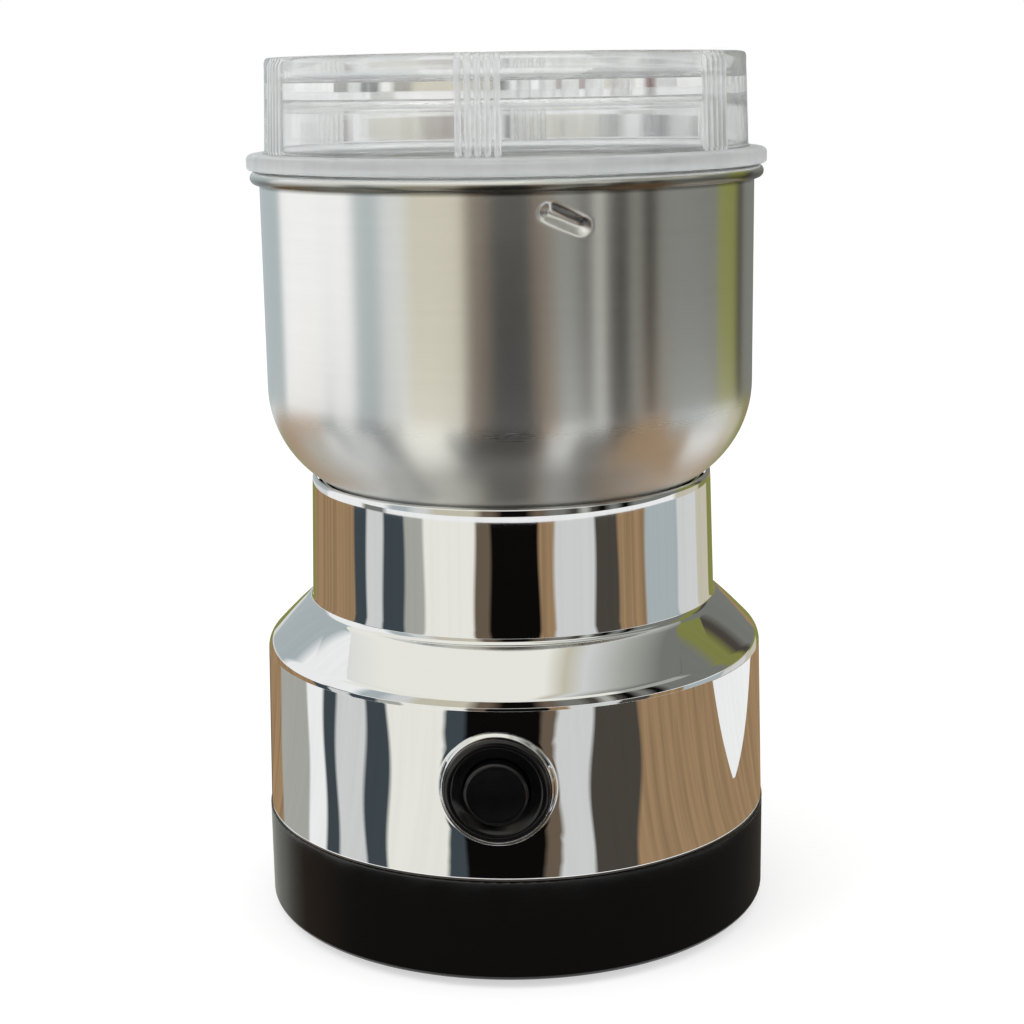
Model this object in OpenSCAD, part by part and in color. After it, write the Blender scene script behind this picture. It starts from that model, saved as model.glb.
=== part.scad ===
// Electric spice grinder: a twist-off clear lid on a steel bowl, a chromed motor housing,
// a black base and a push button that runs the motor for as long as it is held in.
// Millimetres. The origin is on the table under the axis, +Z is up and the button faces -Y.

/* [Body] */
// Height of a rubber foot below the base
foot_h = 1.5; // [1:0.1:3]
// Diameter of the housing's skirt at its lower edge
body_d = 100; // [98:0.5:110]
// Height of the black base ring
base_h = 19.4; // [18:0.2:26]
// How far the base ring stands out past the skirt
base_step = 0.2; // [0:0.05:0.6]
// Height of the skirt, up to its shoulder corner
skirt_h = 32.1; // [30:0.2:40]
// Height of the sloping shoulder
shoulder_h = 9.9; // [8.5:0.1:14]
// Diameter of the neck at its foot
neck_d = 80.2; // [79.6:0.2:86]
// Height of the neck
neck_h = 25; // [24:0.2:32]
// How much a moulded wall draws in towards its top
draft = 0.75; // [0.2:0.05:1]
// Wall thickness of the housing and of the base
shell_wall = 2.2; // [1.8:0.1:2.6]

/* [Bowl] */
// Outer diameter of the bowl's straight wall
bowl_d = 94.6; // [92:0.2:96]
// Height of the bowl, from its floor to the top of its rim
bowl_h = 62.3; // [58:0.5:76]
// Thickness of the bowl's steel
bowl_wall = 0.8; // [0.6:0.05:1.2]
// Outer radius of the bowl's lower corner
bowl_corner = 21; // [18:0.5:23]
// How deep the bowl sits in the neck
bowl_sink = 3.5; // [3:0.1:4.5]
// Radius of the rolled rim
rim_r = 1.25; // [1:0.05:1.5]

/* [Lid] */
// Thickness of the lid's rim flange
flange_h = 2.9; // [2.4:0.1:3.6]
// How far the flange stands out past the bowl's wall
flange_out = 2.3; // [1.8:0.1:3]
// Height of the lid's grip above the flange
lid_h = 17.6; // [15:0.2:24]
// Wall thickness of the lid
lid_wall = 1.8; // [1.4:0.1:2.4]
// Depth of the dish in the lid's top
dish_depth = 4.8; // [2.5:0.1:6]
// Thickness of the lid's top plate
plate_t = 2.9; // [2:0.1:3.5]
// Length of the lid's spigot below the flange
spigot_h = 14.5; // [14:0.2:18]
// Groups of grip ribs round the lid
rib_groups = 6; // [3:1:8]
// Ribs in one group
ribs = 5; // [3:1:7]
// Radius of one rib
rib_r = 0.6; // [0.4:0.05:0.8]

/* [Lid lock] */
// Number of pressed ridges in the bowl, and of lugs on the lid
locks = 3; // [2:1:4]
// Slope of a ridge
ridge_slope = 24; // [18:1:30]
// Length of a ridge
ridge_len = 9.6; // [8:0.2:12]
// Depth of a ridge's centre below the rim
ridge_drop = 7.1; // [6.6:0.1:8]
// Radius of the groove that is pressed in
groove_r = 1.6; // [1.4:0.1:1.8]

/* [Button] */
// Height of the button's centre above the skirt's lower edge
button_h = 17.6; // [15:0.2:19]
// Radius of the black cap
cap_r = 5.9; // [5:0.1:6.4]
// Radius of the bezel round the cap
bezel_r = 9.75; // [9.5:0.05:11]
// How far the cap stands out past the skirt
cap_out = 3; // [2:0.1:4]
// Travel of the button
travel = 3; // [2:0.1:3.4]

/* [Motor] */
// Width of the stator's laminations
stator_w = 52; // [50:0.5:56]
// Depth of the stator's laminations, front to back
stator_d = 44; // [43.5:0.1:45]
// Height of the lamination stack
stator_h = 20; // [17:0.5:21]
// Radius of the armature
armature_r = 14.5; // [14:0.1:14.9]
// Air gap between the armature and the stator
air_gap = 0.5; // [0.35:0.05:0.7]
// Radius of the motor's shaft
shaft_r = 3; // [2.5:0.1:3.4]
// Radius of the commutator
commutator_r = 9; // [8:0.1:9.4]
// Radius of the cooling fan
fan_r = 24; // [20:0.5:25]
// Number of fan vanes
vanes = 9; // [5:1:13]

/* [Blade] */
// Reach of a blade wing from the axis
blade_r = 27; // [22:0.5:30]
// Width of a wing at its root
wing_w = 9; // [7:0.2:10]
// Thickness of the blade's steel
blade_t = 1.6; // [1.2:0.1:2]
// Upward bend of one pair of wings
bend_up = 20; // [10:1:25]
// Downward bend of the other pair
bend_down = 7; // [3:1:8]

/* [Fits] */
// Gap between pieces that lift or turn past each other
move_gap = 0.3; // [0.25:0.05:0.4]
// Radial clearance of a running fit
run_gap = 0.05; // [0.03:0.01:0.08]
// Radial clearance of a screw or a fixed spigot in its hole
seat_gap = 0.1; // [0.05:0.05:0.2]

/* [Hidden] */
$fn = 96;
bit = 0.02;

// Heights of the housing, from the table up
z_base = foot_h;
z_skirt = z_base + base_h;
z_corner = z_skirt + skirt_h;
z_neck = z_corner + shoulder_h;
z_lip = z_neck + neck_h;

// Radii of the housing
skirt_r = body_d / 2;
corner_r = skirt_r - draft;
neck_r = neck_d / 2;
lip_r = neck_r - draft;
base_r = skirt_r + base_step;
inner_r = skirt_r - shell_wall;
neck_inner_r = lip_r - shell_wall;
corner_round = 4;
shoulder_crown = 0.2;
lip_round = 0.7;

// Bowl
bowl_r = bowl_d / 2;
z_bowl = z_lip - bowl_sink;
z_bowl_floor = z_bowl + bowl_wall;
z_rim = z_bowl + bowl_h;
rim_mid_r = bowl_r - bowl_wall + rim_r + 0.05;
bowl_inner_r = bowl_r - bowl_wall;
ridge_z = z_rim - ridge_drop;
ridge_mid_r = bowl_r + 0.3;
bump_r = groove_r + bowl_wall - 0.1;
// The first ridge lies this far round from the button
ridge_turn = 16;
ridge_ball = 1.6;

// Lid
z_flange = z_rim + move_gap;
z_grip = z_flange + flange_h;
z_top = z_grip + lid_h;
flange_r = bowl_r + flange_out;
grip_r = bowl_r - 1.2;
grip_top_r = grip_r - 0.6;
spigot_r = bowl_inner_r - 2;
z_spigot = z_flange - spigot_h;
z_dish = z_top - dish_depth;
seal_h = 1;
seal_in = rim_mid_r - 0.9;
seal_out = rim_mid_r + 0.7;
lug_r = bowl_inner_r - move_gap;
lug_t = 2;
lug_len = 8;
lug_z = ridge_z - (bump_r + move_gap + lug_t / 2) / cos(ridge_slope);
rib_pitch = 2.1;
rib_bed = 0.4;
// The ribs' groups start this far round from the button
rib_turn = -2;

// Base
floor_t = 2.5;
spigot_up = 5;
base_lip_r = inner_r - seat_gap;
base_lip_t = 1.6;
base_inner_r = base_r - shell_wall - 0.3;
z_floor = z_base + floor_t;
post_inset = 8.5;
post_at = skirt_r - post_inset;
post_r = 4.5;
boss_r = 4.2;
boss_h = 21;
screw_r = 1.35;
screw_head_r = 3;
screw_web_z = z_base + 7.5;
screw_bite = 10.1;
base_screw_len = z_skirt + screw_bite - screw_web_z;
pan_head_h = 2.4;
foot_r = 6;
foot_at = 39;
foot_seat = 1;
slot_w = 2;
slot_pitch = 4;
slot_field_r = 20;

// Cord gland in the rear wall of the base
gland_z = z_base + base_h / 2;
gland_bore_r = 3.2;
gland_flange_r = 6.5;
gland_barrel_r = 4.5;
// The gland stands out at the rear as far as the button does at the front
gland_out = skirt_r + cap_out - draft * button_h / skirt_h / 2;
gland_face = base_r - 0.5;
gland_in = base_inner_r - 2.5;

// Button, along its own axis: distances from the motor's axis towards the front
button_z = z_skirt + button_h;
skirt_front = skirt_r - draft * button_h / skirt_h;
pad_front = skirt_front + 0.3;
pad_r = bezel_r + 0.45;
bezel_front = pad_front + 1.2;
bezel_lip = 0.5;
barrel_r = cap_r + 2.7;
barrel_back = skirt_front - 8.1;
cap_front = skirt_front + cap_out;
cap_stop = skirt_front - 5.7;
stop_t = 1.5;
stop_r = cap_r + 1.1;
inner_pad_r = barrel_r + 4.1;
inner_pad = sqrt(pow(skirt_front - shell_wall, 2) - pow(inner_pad_r, 2)) - 0.2;
nut_t = 3;
switch_back = stator_d / 2 + 1.6;
switch_t = 9.2;
switch_front = switch_back + switch_t;
sheet_t = 1.2;
bracket_front = switch_front + sheet_t;
stem_r = 2.5;
plunger_r = 1.6;
plunger_front = switch_front + travel;
stem_end = plunger_front + move_gap;
plunger_back = switch_back + 1.1 + travel;
plunger_well = switch_back + 0.8;
spring_wire = 0.35;
spring_mid_r = 4.6;
spring_curls = 4;
// Sides of the wire's outline per turn
spring_rings = 8;
switch_w = 20;
switch_h = 16;
switch_screw_r = 1.2;
switch_screw_len = 6;
switch_screw_at = switch_w / 2 - 2;
switch_screw_z = button_z - switch_h / 2 + 3;
small_head_r = 2;
small_head_h = 1.2;
bracket_w = switch_w + 4;
bracket_top = button_z + switch_h / 2 + 1;
bracket_screw_r = 1.4;
bracket_screw_y = -switch_back - 2;
terminal_at = 5;
terminal_w = 4.4;
terminal_t = 0.8;
terminal_len = 6;
terminal_y = -(switch_front + switch_back + terminal_t) / 2;
terminal_low = button_z - switch_h / 2 - terminal_len;

// Motor, hung below the bowl
gasket_h = 2.9;
deck_t = 2.5;
z_deck_top = z_bowl - gasket_h;
z_deck = z_deck_top - deck_t;
bush_nut_h = 3.5;
fan_h = 6;
z_fan = z_deck - bush_nut_h - 1.5 - fan_h;
z_arm = z_fan - 6;
arm_t = 2;
leg_h = 6;
z_stator_top = z_arm - leg_h;
z_stator = z_stator_top - stator_h;
stator_bore = armature_r + air_gap;
coil_end = 5;
coil_in = stator_bore + 0.2;
// The coil takes this share of the iron beside the bore, and the yoke the rest
coil_share = 0.407;
coil_out = coil_in + coil_share * (stator_w / 2 - coil_in);
coil_half = 16.5;
coil_core = 13;
coil_room = 0.5;
pole_tip = 0.3 * stator_bore;
commutator_h = 8;
z_commutator = z_stator - 7 - commutator_h;
z_brush = z_commutator + commutator_h / 2;
z_low = z_commutator - 8;
low_t = 2;
brush_half_w = 2.6;
brush_half_h = 3.1;
brush_len = 7;
holder_wall = 0.8;
holder_half_w = brush_half_w + seat_gap + holder_wall;
holder_half_h = brush_half_h + seat_gap + holder_wall;
brush_tube_in = commutator_r + 1.4;
brush_tube_out = 23;
side_arm_at = 19;
side_arm_t = 6;
tab_t = 4.6;
bolt_at = stator_d / 2 - 2.7;
bolt_r = 1.5;
bolt_head_r = 3;
bolt_head_h = 2;
strap_w = 12;
mount_at = 29;
mount_h = 2.5;
mount_r = 3.4;
mount_screw_r = 1.4;
deck_screw_at = neck_inner_r - 2.2;
deck_screw_len = 4.6;
deck_screw_head_r = 1.9;
bearing_r = 5.5;
bearing_h = 7;
hub_r = 8;
winding_r = armature_r - 1.5;
winding_end = 3.5;
core_h = stator_h - 2;
z_core = z_stator + 1;
slots = 12;

// Bush, shaft end and blade
bush_r = 8;
bush_flange_r = 12;
bush_flange_t = 1.8;
z_bush_top = z_bowl_floor + bush_flange_t;
z_bush = z_deck - bush_nut_h - 0.5;
tip_r = shaft_r - 0.4;
z_blade = z_bush_top + 3;
wing_root = 11;
z_washer = z_blade + blade_t;
z_nut = z_washer + 0.8;
blade_nut_h = 4;
z_shaft_end = z_nut + blade_nut_h + 1;
z_shaft = z_low - 2;

// Routes of the leads inside, from the gland and from the switch
lead_r = 1.2;
lead_gap = 0.3;
lead_ring_r = post_at - post_r - 5;
lead_z = z_floor + 3.2;
gland_exit = gland_in - lead_gap;
coil_mid = (coil_in + coil_out) / 2;
coil_leg = (coil_core + coil_half) / 2;
coil_low = z_stator - coil_end;
holder_end = brush_tube_out + lead_gap;

// A point on the ring inside the screw posts, where the leads run
function on_ring(a, z) = [lead_ring_r * cos(a), lead_ring_r * sin(a), z];

// The way of a lead from the gland to the ring; side is -1 or 1
function from_gland(side) = [
    [side * 1.6, gland_exit, gland_z],
    [side * 2, gland_exit - 3.9, gland_z - 0.6],
    [side * 9, gland_exit - 9.9, gland_z - 2.7]
];

// The way of a lead down from a terminal of the switch
function from_terminal(side) = [
    [side * terminal_at, terminal_y, terminal_low - lead_gap],
    [side * (terminal_at + 0.6), terminal_y, terminal_low - 4],
    [side * (terminal_at + 5), terminal_y + 0.6, terminal_low - 7]
];

live_end = from_terminal(-1);
live_route = concat(
    from_gland(-1),
    [on_ring(130, lead_z), on_ring(160, lead_z), on_ring(190, lead_z), on_ring(212, lead_z + 0.8)],
    [on_ring(232, lead_z + 5), live_end[2], live_end[1], live_end[0]]
);
neutral_route = concat(
    from_gland(1),
    [on_ring(50, lead_z), on_ring(22, lead_z + 1), on_ring(7, lead_z + 6)],
    [[holder_end + 6.7, 0.6, z_brush - 5], [holder_end + 3.7, 0, z_brush - 1], [holder_end, 0, z_brush]]
);
switched_route = concat(
    from_terminal(1),
    [[coil_mid, -coil_leg - 10, terminal_low - 7], [coil_mid + 4, -coil_leg - 5, coil_low - 11]],
    [[coil_mid + 3.8, -coil_leg - 0.7, coil_low - 6.5], [coil_mid + 0.8, -coil_leg, coil_low - 3.5]],
    [[coil_mid, -coil_leg, coil_low - lead_gap]]
);
return_route = [
    [-holder_end, 0, z_brush],
    [-holder_end - 3.2, -1, z_brush],
    [-holder_end - 4.2, -7, z_brush - 0.5],
    [-coil_mid - 5.6, -coil_leg + 1.8, coil_low - 5.5],
    [-coil_mid - 1, -coil_leg, coil_low - 3],
    [-coil_mid, -coil_leg, coil_low - lead_gap]
];

// Points of a circular arc from angle a0 to a1 in n steps
function arc(cx, cy, r, a0, a1, n) =
    [for (i = [0:n]) let (a = a0 + (a1 - a0) * i / n) [cx + r * cos(a), cy + r * sin(a)]];

function unit(v) = v / norm(v);

// A ring of n points round p, square to the direction d
function ring_points(p, d, r, n) =
    let (u = unit(cross(d, abs(d.z) < 0.9 ? [0, 0, 1] : [1, 0, 0])), v = cross(d, u))
    [for (k = [0:n - 1]) p + r * (cos(360 * k / n) * u + sin(360 * k / n) * v)];

// The direction of a path at its point i, along its neighbours
function heading(path, i) =
    unit(path[min(i + 1, len(path) - 1)] - path[max(i - 1, 0)]);

// A closed tube of radius r and n sides along a path
module tube(path, r, n) {
    m = len(path);
    rings = [for (i = [0:m - 1]) each ring_points(path[i], heading(path, i), r, n)];
    sides = [
        for (i = [0:m - 2], k = [0:n - 1])
        let (a = i * n + k, b = i * n + (k + 1) % n)
        each [[a, b, b + n], [a, b + n, a + n]]
    ];
    first_end = [for (k = [1:n - 2]) [0, k + 1, k]];
    last_end = [for (k = [1:n - 2]) [(m - 1) * n, (m - 1) * n + k, (m - 1) * n + k + 1]];
    polyhedron(points = rings, faces = concat(sides, first_end, last_end));
}

// The wire of a compression spring along +Z: a closed turn at each end and open curls between
function spring_path(length, mid_r, wire, curls) =
    let (pitch_end = 2 * wire + 0.45, body = length - 2 * wire - 2 * pitch_end, all = curls + 2)
    [
        for (i = [0:all * spring_rings])
        let (t = i / spring_rings, a = 360 * t)
        let (z = t < 1 ? t * pitch_end : t > all - 1 ? pitch_end + body + (t - all + 1) * pitch_end
            : pitch_end + (t - 1) * body / curls)
        [mid_r * cos(a), mid_r * sin(a), wire + z]
    ];

module spring(length, mid_r, wire, curls) {
    tube(spring_path(length, mid_r, wire, curls), wire, 6);
}

// Least gap between turns one apart, from the wire's own points
function turn_gap(path, wire) =
    min([for (i = [0:len(path) - 1 - spring_rings]) norm(path[i + spring_rings] - path[i])]) - 2 * wire;

echo(return_spring_gap = turn_gap(
    spring_path(cap_stop - stop_t - bracket_front, spring_mid_r, spring_wire, spring_curls), spring_wire));

// Puts its children on the button's axis, with +Z pointing out of the front
module on_button() {
    translate([0, 0, button_z]) rotate([90, 0, 0]) children();
}

// A round peg or hole along +Z from z0 to z1
module rod(r, z0, z1) {
    translate([0, 0, z0]) cylinder(r = r, h = z1 - z0);
}

// A block from its lowest to its highest corner
module block(low, high) {
    translate(low) cube(high - low);
}

// A washer-shaped ring
module band(r_in, r_out, z0, z1) {
    difference() {
        rod(r_out, z0, z1);
        rod(r_in, z0 - bit, z1 + bit);
    }
}

// ---- Housing, base and feet ----

// Outline of the housing from the skirt's lower edge to the neck's lip
function housing_outside() =
    let (corner = arc(corner_r - corner_round, z_corner, corner_round, 0, 45, 6))
    let (from = corner[6], to = [neck_r + 1, z_neck - 0.4])
    concat(
        [[skirt_r - 0.15, z_skirt], [skirt_r, z_skirt + 0.3]],
        corner,
        [from + 0.65 * (to - from) + shoulder_crown * [1, 1], to],
        [[neck_r + 0.25, z_neck + 0.05], [neck_r, z_neck + 0.6]],
        arc(lip_r - lip_round, z_lip - lip_round, lip_round, 0, 120, 5)
    );

function housing_inside() = [
    [lip_r - 1.2, z_lip - 1.3],
    [neck_inner_r, z_lip - 4],
    [neck_r - shell_wall, z_neck],
    [corner_r - shell_wall, z_corner + 0.7],
    [inner_r, z_skirt]
];

module bosses() {
    for (a = [45:90:315]) rotate([0, 0, a]) {
        translate([post_at, 0, 0]) rod(boss_r, z_skirt, z_skirt + boss_h);
        block([post_at, -1.2, z_skirt + spigot_up + 1], [inner_r + 0.6, 1.2, z_skirt + boss_h]);
    }
}

module housing() {
    color("gainsboro") difference() {
        union() {
            rotate_extrude() polygon(concat(housing_outside(), housing_inside()));
            band(neck_inner_r - 4.2, neck_inner_r + 0.8, z_deck - 2.5, z_deck);
            on_button() rod(pad_r, skirt_front - shell_wall + 0.4, pad_front);
            on_button() rod(inner_pad_r, inner_pad, skirt_front - shell_wall);
            bosses();
        }
        on_button() rod(barrel_r + seat_gap, inner_pad - 1, pad_front + 1);
        for (a = [45:90:315]) rotate([0, 0, a]) translate([post_at, 0, 0])
            rod(screw_r + seat_gap, z_skirt - 1, z_skirt + boss_h - 2);
        for (a = [30:120:270]) rotate([0, 0, a]) translate([deck_screw_at, 0, 0])
            rod(switch_screw_r + seat_gap, z_deck - 4, z_deck + bit);
    }
}

function base_outside() = concat(
    [[0, z_base]],
    arc(base_r - 1.1, z_base + 1.1, 1.1, -90, 0, 5),
    [[base_r, z_skirt - 0.25], [base_r - 0.25, z_skirt]]
);

module vents() {
    last = slot_field_r - slot_pitch;
    for (x = [-last:slot_pitch:last]) {
        reach = sqrt(slot_field_r * slot_field_r - x * x);
        block([x - slot_w / 2, -reach, z_base - 1], [x + slot_w / 2, reach, z_floor + 1]);
        for (s = [-1, 1]) translate([x, s * reach, 0]) rod(slot_w / 2, z_base - 1, z_floor + 1);
    }
}

module base() {
    color("#17171a") difference() {
        union() {
            difference() {
                rotate_extrude() polygon(concat(base_outside(), [[0, z_skirt]]));
                rod(base_inner_r, z_floor, z_skirt + 1);
            }
            band(base_lip_r - base_lip_t, base_lip_r, z_skirt - 4, z_skirt + spigot_up);
            band(base_lip_r - base_lip_t, base_inner_r + bit, z_skirt - 4, z_skirt - 2);
            for (a = [45:90:315]) rotate([0, 0, a]) translate([post_at, 0, 0])
                rod(post_r, z_base + 1, z_skirt);
        }
        vents();
        for (a = [45:90:315]) rotate([0, 0, a]) translate([post_at, 0, 0]) {
            rod(screw_r + 0.45, z_base - 1, z_skirt + 1);
            rod(screw_head_r + 0.3, z_base - 1, screw_web_z);
        }
        for (a = [0:90:270]) rotate([0, 0, a]) translate([foot_at, 0, 0])
            rod(foot_r + seat_gap, z_base - 1, z_base + foot_seat);
        translate([0, 0, gland_z]) rotate([-90, 0, 0]) {
            rod(gland_barrel_r + seat_gap, gland_in - 1, base_r + 1);
            rod(gland_flange_r + seat_gap, gland_face, base_r + 1);
        }
        for (s = [-1, 1]) translate([s * switch_screw_at, bracket_screw_y, 0])
            rod(bracket_screw_r + run_gap, z_base + 0.6, z_floor + 1);
    }
}

module feet() {
    color("#2a2a2a") for (a = [0:90:270]) rotate([0, 0, a]) translate([foot_at, 0, 0])
        rotate_extrude() polygon([
            [0, 0], [foot_r - 0.9, 0], [foot_r - 0.3, 0.4], [foot_r, foot_h], [foot_r, foot_h + foot_seat],
            [0, foot_h + foot_seat]
        ]);
}

// A pan-head screw that points up from z0, with its head below
module screw(r, length, head_r, head_h) {
    rod(r, 0, length);
    translate([0, 0, -head_h]) cylinder(r = head_r, h = head_h);
}

module base_screws() {
    color("silver") for (a = [45:90:315]) rotate([0, 0, a])
        translate([post_at, 0, screw_web_z]) screw(screw_r, base_screw_len, screw_head_r, pan_head_h);
}

module cord_gland() {
    color("#202020") translate([0, 0, gland_z]) rotate([-90, 0, 0]) difference() {
        union() {
            rod(gland_flange_r, gland_face, gland_out - 0.6);
            rod(gland_flange_r - 0.6, gland_face, gland_out);
            rod(gland_barrel_r, gland_in, gland_face + 1);
            rod(gland_barrel_r + 1.2, gland_in, base_inner_r - 0.6);
        }
        rod(gland_bore_r, gland_in - 1, gland_out + 1);
    }
}

// ---- Push button and switch ----

module button_bezel() {
    color("#101012") on_button() rotate_extrude() polygon([
        [cap_r + 0.15, cap_stop + 0.3],
        [cap_r + 0.15, pad_front - 0.1],
        [cap_r + 0.6, pad_front + 0.1],
        [bezel_r - 1, bezel_front],
        [bezel_r - bezel_lip, bezel_front],
        [bezel_r, bezel_front - bezel_lip],
        [bezel_r, pad_front],
        [barrel_r, pad_front],
        [barrel_r, barrel_back],
        [stop_r + 0.3, barrel_back],
        [stop_r + 0.3, cap_stop + 0.3]
    ]);
}

module bezel_nut() {
    color("#303030") on_button() difference() {
        rod(inner_pad_r - 0.4, inner_pad - nut_t, inner_pad);
        rod(barrel_r + run_gap, inner_pad - nut_t - 1, inner_pad + 1);
        for (a = [0:60:300]) rotate([0, 0, a])
            block([inner_pad_r - 1.6, -1, inner_pad - nut_t - 1], [inner_pad_r + 1, 1, inner_pad + 1]);
    }
}

module button_cap() {
    dish_r = 30;
    color("#141416") on_button() difference() {
        union() {
            rotate_extrude() polygon(concat(
                [[0, cap_stop], [cap_r, cap_stop]],
                arc(cap_r - 0.7, cap_front - 0.7, 0.7, 0, 90, 5),
                [[0, cap_front]]
            ));
            rod(stop_r, cap_stop - stop_t, cap_stop + bit);
            rod(stem_r, stem_end, cap_stop);
        }
        translate([0, 0, cap_front + dish_r - 0.35]) sphere(r = dish_r, $fn = 120);
    }
}

module return_spring() {
    color("silver") on_button() translate([0, 0, bracket_front])
        spring(cap_stop - stop_t - bracket_front, spring_mid_r, spring_wire, spring_curls);
}

module switch_bracket() {
    color("#b5b8bc") difference() {
        union() {
            block([-bracket_w / 2, -bracket_front, z_floor], [bracket_w / 2, -switch_front, bracket_top]);
            block(
                [-bracket_w / 2, -switch_front - bit, z_floor],
                [bracket_w / 2, 2 - switch_back, z_floor + sheet_t]
            );
        }
        on_button() rod(stem_r + 0.3, switch_front - 1, bracket_front + 1);
        for (s = [-1, 1]) {
            translate([s * switch_screw_at, 0, switch_screw_z]) rotate([90, 0, 0])
                rod(switch_screw_r + seat_gap, switch_front - 1, bracket_front + 1);
            translate([s * switch_screw_at, bracket_screw_y, 0])
                rod(bracket_screw_r + 3 * seat_gap, z_floor - 1, z_floor + 3);
        }
    }
}

module bracket_screws() {
    color("silver") for (s = [-1, 1])
        translate([s * switch_screw_at, bracket_screw_y, z_floor + sheet_t])
        rotate([180, 0, 0]) screw(bracket_screw_r, 2 * sheet_t, small_head_r + 0.6, small_head_h + 0.4);
}

module switch_body() {
    color("#6e1f1c") difference() {
        block(
            [-switch_w / 2, -switch_front, button_z - switch_h / 2],
            [switch_w / 2, -switch_back, button_z + switch_h / 2]
        );
        on_button() rod(plunger_r + seat_gap, plunger_well, switch_front + 1);
        for (s = [-1, 1]) translate([s * switch_screw_at, 0, switch_screw_z]) rotate([90, 0, 0])
            rod(switch_screw_r + run_gap, switch_front - switch_screw_len, switch_front + 1);
    }
}

module switch_plunger() {
    color("white") on_button() rod(plunger_r, plunger_back, plunger_front);
}

module switch_terminals() {
    low = [-terminal_w / 2, terminal_y - terminal_t / 2, terminal_low];
    color("#c9a44c") for (s = [-1, 1]) translate([s * terminal_at, 0, 0])
        block(low, low + [terminal_w, terminal_t, terminal_len]);
}

module switch_screws() {
    color("silver") for (s = [-1, 1])
        translate([s * switch_screw_at, -bracket_front, switch_screw_z])
        rotate([-90, 0, 0]) screw(switch_screw_r, switch_screw_len, small_head_r, small_head_h);
}

// ---- Bowl and what holds it ----

// Half section of a cup with a rounded lower corner
module cup_section(r, z0, z1, corner) {
    square_top = z0 + corner;
    translate([0, z0]) square([r - corner, z1 - z0]);
    translate([0, square_top]) square([r, z1 - square_top]);
    intersection() {
        translate([r - corner, square_top]) circle(r = corner);
        translate([0, z0]) square([r, corner + 1]);
    }
}

// A round bar with ball ends that lies along a ridge
module ridge_bar(r, turn) {
    half = ridge_len / 2 - ridge_ball;
    rotate([0, 0, turn]) translate([0, -ridge_mid_r, ridge_z]) rotate([0, 90 + ridge_slope, 0]) {
        rod(r, -half, half);
        for (s = [-1, 1]) translate([0, 0, s * half]) sphere(r = r);
    }
}

module ridges(r) {
    for (k = [0:locks - 1]) ridge_bar(r, ridge_turn + 360 * k / locks);
}

module bowl() {
    color("#b9bcc0") difference() {
        union() {
            rotate_extrude() difference() {
                union() {
                    cup_section(bowl_r, z_bowl, z_rim - rim_r, bowl_corner);
                    translate([rim_mid_r, z_rim - rim_r]) circle(r = rim_r);
                }
                cup_section(bowl_inner_r, z_bowl_floor, z_rim + 5, bowl_corner - bowl_wall);
            }
            intersection() {
                ridges(bump_r);
                rod(bowl_r - bowl_wall / 2, ridge_z - 10, ridge_z + 6);
            }
        }
        ridges(groove_r);
        rod(bush_r + seat_gap, z_bowl - 1, z_bowl_floor + 1);
    }
}

module bowl_bush() {
    color("#c9a44c") difference() {
        union() {
            rod(bush_r, z_bush, z_bowl_floor + bit);
            rod(bush_flange_r, z_bowl_floor, z_bush_top - 0.5);
            rod(bush_flange_r - 0.6, z_bowl_floor, z_bush_top);
        }
        rod(shaft_r + run_gap, z_bush - 1, z_bush_top + 1);
    }
}

module bush_nut() {
    color("silver") difference() {
        translate([0, 0, z_deck - bush_nut_h]) cylinder(r = bush_r + 5, h = bush_nut_h, $fn = 6);
        rod(bush_r + run_gap, z_deck - bush_nut_h - 1, z_deck + 1);
    }
}

module bowl_gasket() {
    color("#404040") band(bush_r + 5, bowl_r - bowl_corner - 2, z_deck_top, z_bowl);
}

// ---- Motor ----

module motor_plate() {
    color("#2b2b2b") difference() {
        union() {
            rod(neck_inner_r - 0.3, z_deck, z_deck_top);
            for (s = [-1, 1]) translate([s * mount_at, 0, 0])
                rod(mount_r, z_arm + arm_t + mount_h, z_deck + bit);
        }
        rod(bush_r + seat_gap, z_deck - 1, z_deck_top + 1);
        for (a = [30:120:270]) rotate([0, 0, a]) translate([deck_screw_at, 0, 0])
            rod(switch_screw_r + 3 * seat_gap, z_deck - 1, z_deck_top + 1);
        for (s = [-1, 1]) translate([s * mount_at, 0, 0])
            rod(mount_screw_r + run_gap, z_arm, z_arm + arm_t + mount_h + 8);
    }
}

module deck_screws() {
    color("silver") for (a = [30:120:270]) rotate([0, 0, a])
        translate([deck_screw_at, 0, z_deck_top]) rotate([180, 0, 0])
        screw(switch_screw_r, deck_screw_len, deck_screw_head_r, small_head_h);
}

module damping_mounts() {
    color("#303030") for (s = [-1, 1]) translate([s * mount_at, 0, 0])
        band(mount_screw_r + 2 * seat_gap, mount_r + 1.1, z_arm + arm_t, z_arm + arm_t + mount_h);
}

module mount_screws() {
    color("silver") for (s = [-1, 1]) translate([s * mount_at, 0, z_arm])
        screw(mount_screw_r, arm_t + mount_h + 7, screw_head_r, arm_t);
}

module coil_window() {
    block(
        [pole_tip, coil_core - coil_room, z_stator - 1],
        [coil_out + coil_room, coil_half + coil_room, z_stator_top + 1]
    );
}

module stator_core() {
    color("#8a8d92") difference() {
        intersection() {
            block([-stator_w / 2, -stator_d / 2, z_stator], [stator_w / 2, stator_d / 2, z_stator_top]);
            rod(stator_w / 2 + 4.5, z_stator, z_stator_top);
        }
        rod(stator_bore, z_stator - 1, z_stator_top + 1);
        for (a = [0, 180]) rotate([0, 0, a]) {
            coil_window();
            mirror([0, 1, 0]) coil_window();
        }
        for (s = [-1, 1]) translate([0, s * bolt_at, 0])
            rod(bolt_r + seat_gap, z_stator - 1, z_stator_top + 1);
    }
}

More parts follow.
